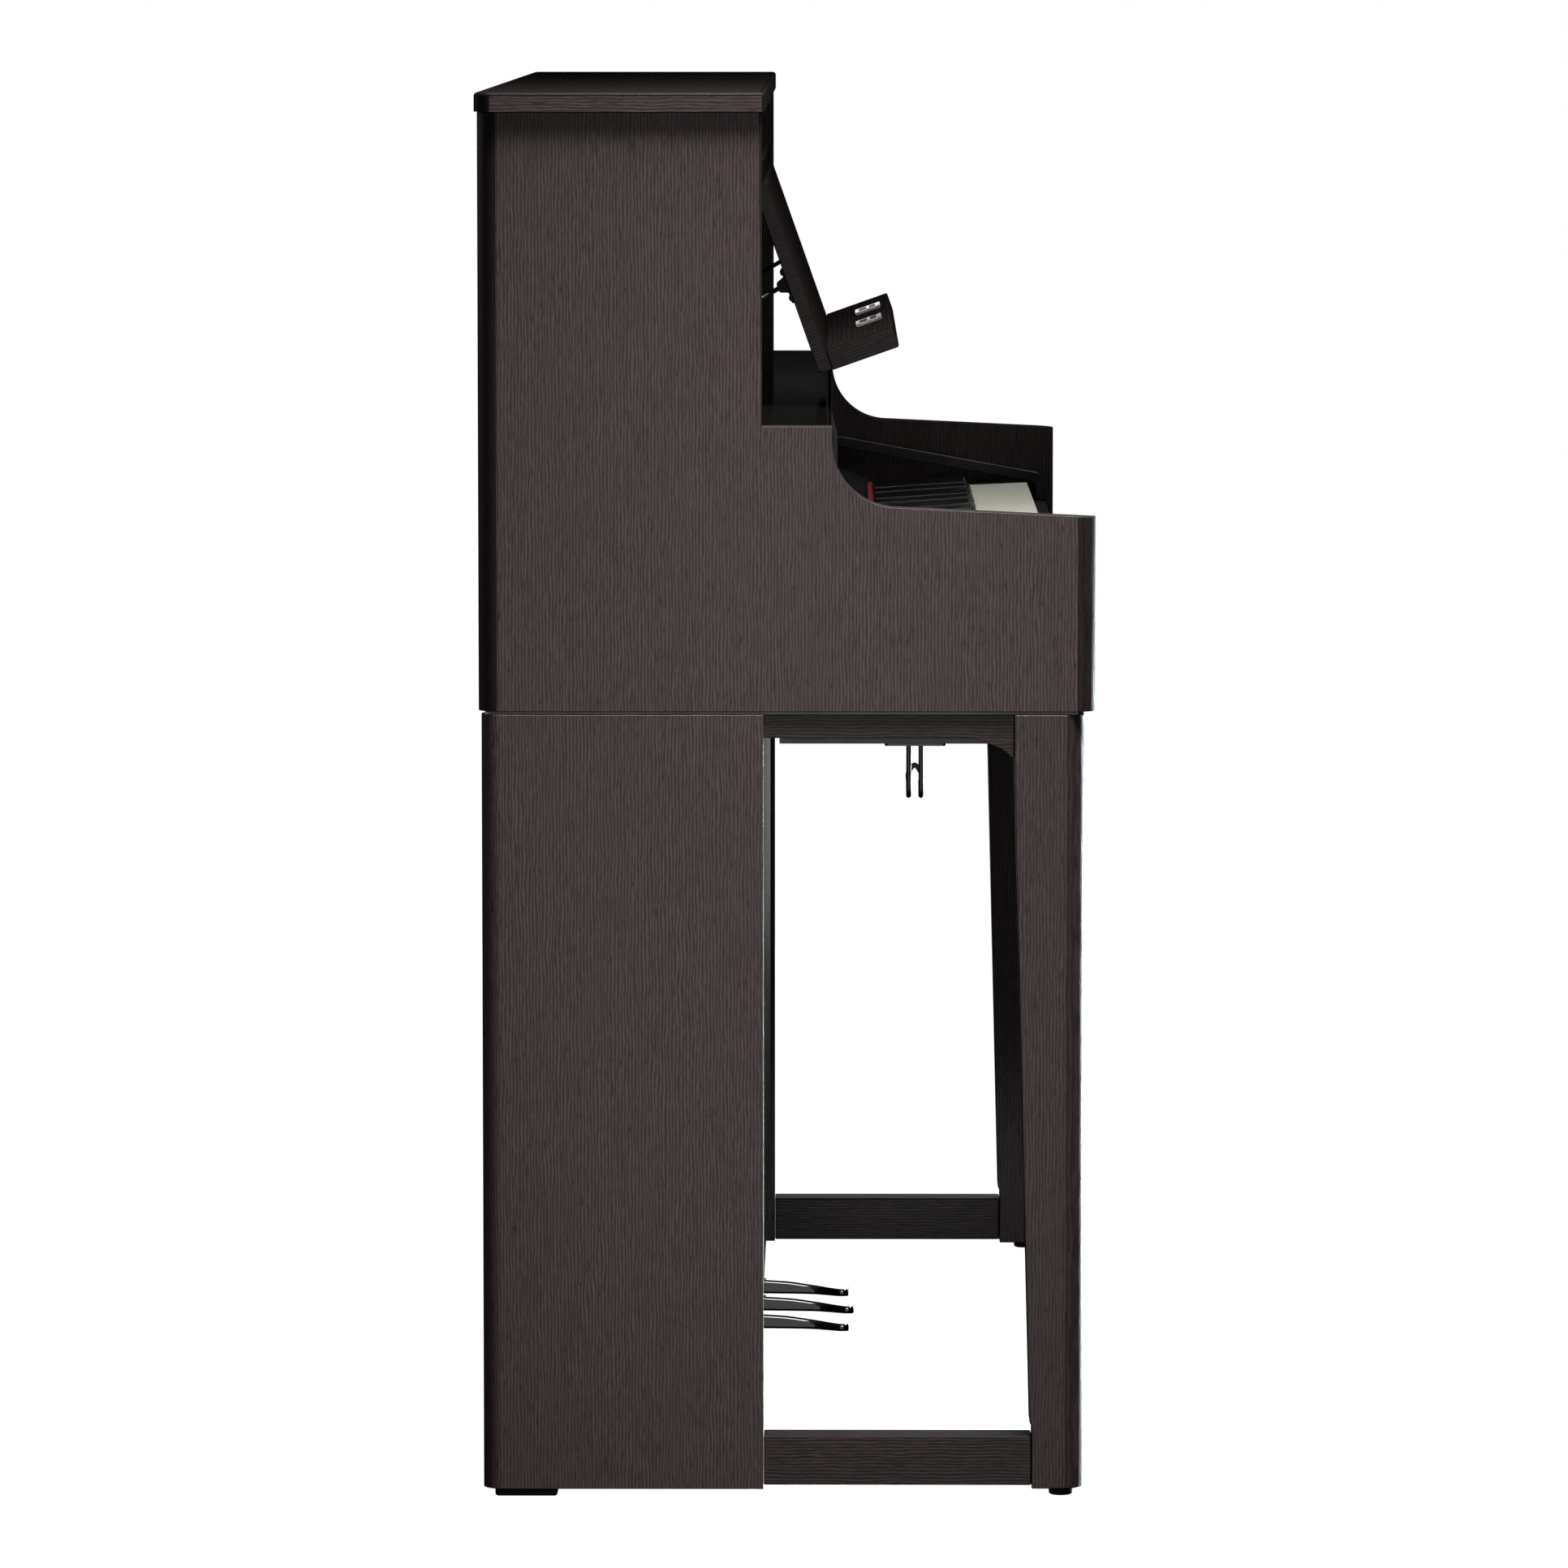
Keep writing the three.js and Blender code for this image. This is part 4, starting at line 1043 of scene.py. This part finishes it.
# ---- carried-over CAD nodes ------------------------------------------------------------------
def dress(node, look, arris=0.4):
    """Gives a CAD node that stays in view its look and softened edges."""
    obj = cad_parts[node]
    obj.data.materials.clear()
    obj.data.materials.append(look)
    if arris:
        softened(obj, arris, crease=35)


def back_details():
    """Panel screws, hinge batten, cloth behind the speaker ports and the inlet's three pins."""
    low, high = box_mm("upper_back_panel")
    piece("hinge_batten", block((low.x + 2, high.x - 2), (high.y + GAP, REAR - GAP),
                                (high.z - 16, high.z - GAP)), WOOD_X_SHADED, slot="wood")
    screw_pitch = 256
    columns = [screw_pitch * (i - 2.5) for i in range(6)]
    rows = (("upper_back_panel", (643, 860, 1076)), ("lower_back_panel", (104, 358, 612)))
    for node, levels in rows:
        rear = box_mm(node)[1].y
        spots = [(x, z) for z in levels for x in columns
                 if z != levels[1] or abs(x) == columns[-1]]
        heads = [screw_head((x, rear, z), (x, rear + 1, z), 3.6) for x, z in spots]
        piece(f"{node}_screws", joined(*heads), SCREW, arris=0, slot="dark_steel")
    port_z, cloth_front, cloth_radius, cloth_thick = 350, 226.2, 64.7, 0.9
    for side, x in (("left", -400), ("right", 400)):
        disc = turned([(0, 0), (cloth_radius, 0), (cloth_radius, cloth_thick), (0, cloth_thick)],
                      (x, cloth_front, port_z), (x, cloth_front + 1, port_z), 48)
        piece(f"port_cloth_{side}", disc, CLOTH, arris=0, slot="speaker")
    pin_half_x, pin_half_z, pin_reach = 1, 2.6, (218.2, 231)
    pins = [block((x - pin_half_x, x + pin_half_x), pin_reach, (z - pin_half_z, z + pin_half_z))
            for x, z in ((516, 688), (523, 694), (530, 688))]
    piece("inlet_pins", joined(*pins), SCREW, arris=0.3, slot="bright_metal")


def carried_over():
    dress("base_plate", GREY, 0.3)
    dress("key_chassis", GREY)
    dress("pedal_frame", GREY)
    dress("toe_board", WOOD_X_SHADED, 0.8)
    dress("main_board", CIRCUIT, 0.2)
    dress("upper_back_panel", BOARD)
    dress("lower_back_panel", BOARD)
    dress("power_inlet", BLACK, 0.5)
    dress("power_button", BLACK, 0.5)
    dress("volume_button", BLACK, 0.5)
    dress("speaker_left", CONE, 0)
    dress("speaker_right", CONE, 0)


# ---- studio --------------------------------------------------------------------------------
def area_light(name, place, aim, size, power, spread=180, colour=(1, 1, 1)):
    """A rectangular lamp in metres, watts and degrees, aimed at a point."""
    data = bpy.data.lights.new(name, "AREA")
    data.spread = math.radians(spread)
    data.shape = "RECTANGLE"
    data.size, data.size_y = size
    data.energy = power
    data.color = colour
    lamp = bpy.data.objects.new(name, data)
    lamp.location = place
    lamp.rotation_euler = (Vector(aim) - Vector(place)).to_track_quat("-Z", "Y").to_euler()
    bpy.context.scene.collection.objects.link(lamp)


WARM = (1.0, 0.955, 0.94)
COOL = (0.85, 0.93, 1.0)
FLOOR_HALF = 60
# The camera's place, line of sight and lens, fitted to the photo's view.
CAMERA_PLACE = (-7.44691, -0.03852, 1.2138)
CAMERA_SIGHT = (0.99550, 0.00581, -0.09453)
CAMERA_LENS = 196.965  # on a 36 mm frame


def studio():
    """Pale floor, lights and the camera. The small cards light one part each."""
    scene = bpy.context.scene
    scene.view_settings.view_transform = "Standard"
    world = bpy.data.worlds.new("studio")
    scene.world = world
    world.use_nodes = True
    world.node_tree.nodes["Background"].inputs["Color"].default_value = (1, 1, 1, 1)
    world.cycles_visibility.diffuse = False
    world.cycles_visibility.glossy = False

    floor = bmesh.new()
    bmesh.ops.create_grid(floor, x_segments=8, y_segments=8, size=FLOOR_HALF)
    mesh = bpy.data.meshes.new("floor")
    floor.to_mesh(mesh)
    floor.free()
    ground = bpy.data.objects.new("floor", mesh)
    scene.collection.objects.link(ground)
    pale = Look("pale_floor", Roughness=0.9, Specular_IOR_Level=0.1,
                Emission_Color=(1, 1, 1, 1), Emission_Strength=1.0)
    pale.colour(pale.mix(pale.even_noise(0.6), (0.28, 0.28, 0.28), (0.32, 0.32, 0.32)))
    mesh.materials.append(pale.material)
    ground.visible_diffuse = False
    ground.visible_glossy = False
    ground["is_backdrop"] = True

    area_light("panel_wash", (-1.24, -0.55, 3.5), (-0.92, -0.12, 0.6), (0.42, 0.9), 21, 44,
               WARM)
    area_light("side_card", (-1.45, -0.02, 0.53), (-0.68, -0.02, 0.50), (0.5, 1.2), 1.45, 140,
               WARM)
    area_light("key_lamp", (0.1, -0.75, 2.4), (0, -0.17, 0.73), (1.4, 0.3), 3.2, 60)
    area_light("front_fill", (1.9, -5.0, 2.0), (0.3, 0, 0.6), (3.0, 2.5), 8)
    area_light("back_fill", (1.9, 5.0, 2.0), (0.3, 0, 0.6), (3.0, 2.5), 16)
    area_light("low_card", (3.2, -0.1, 0.34), (0, -0.02, 0.06), (2.4, 0.6), 6)
    area_light("floor_card", (-1.3, -0.1, -0.14), (0, -0.1, 0.05), (0.9, 0.25), 0.045)
    area_light("shelf_strip", (3.2, 0.0, 1.010), (0, 0, 0.86), (0.8, 0.03), 0.0045)
    area_light("clip_card", (0.3, -0.062, 0.9265), (-0.3, -0.07, 0.91), (0.07, 0.024), 0.0063)
    area_light("far_rail_card", (0.25, -0.1, 0.1), (0.69, -0.08, 0.03), (0.3, 0.1), 0.03, 50)
    area_light("leg_rim", (1.6, -1.9, 0.1), (-0.6, -0.2, 0.1), (0.3, 0.6), 3.2, 24, COOL)

    data = bpy.data.cameras.new("camera")
    data.lens, data.sensor_width = CAMERA_LENS, 36
    data.clip_end = 200
    camera = bpy.data.objects.new("camera", data)
    camera.location = CAMERA_PLACE
    camera.rotation_euler = Vector(CAMERA_SIGHT).to_track_quat("-Z", "Y").to_euler()
    scene.collection.objects.link(camera)
    scene.camera = camera


# ---- assembly ------------------------------------------------------------------------------
cabinet()
top_lid()
boards()
name_board()
keyboard_lid()
both_sides("track", lid_track, TRACK, ["lid_track"], arris=0.9, slot="black_plastic")
both_sides("cheek", cheek_block, TRACK, ["cheek_block"], slot="black_plastic")
keyboard()
music_desk()
desk_fittings()
headphone_hook()
pedals()
carried_over()
back_details()
studio()

low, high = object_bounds()
{"cad": [list(cad_low), list(cad_high)], "visual": [list(low), list(high)]}
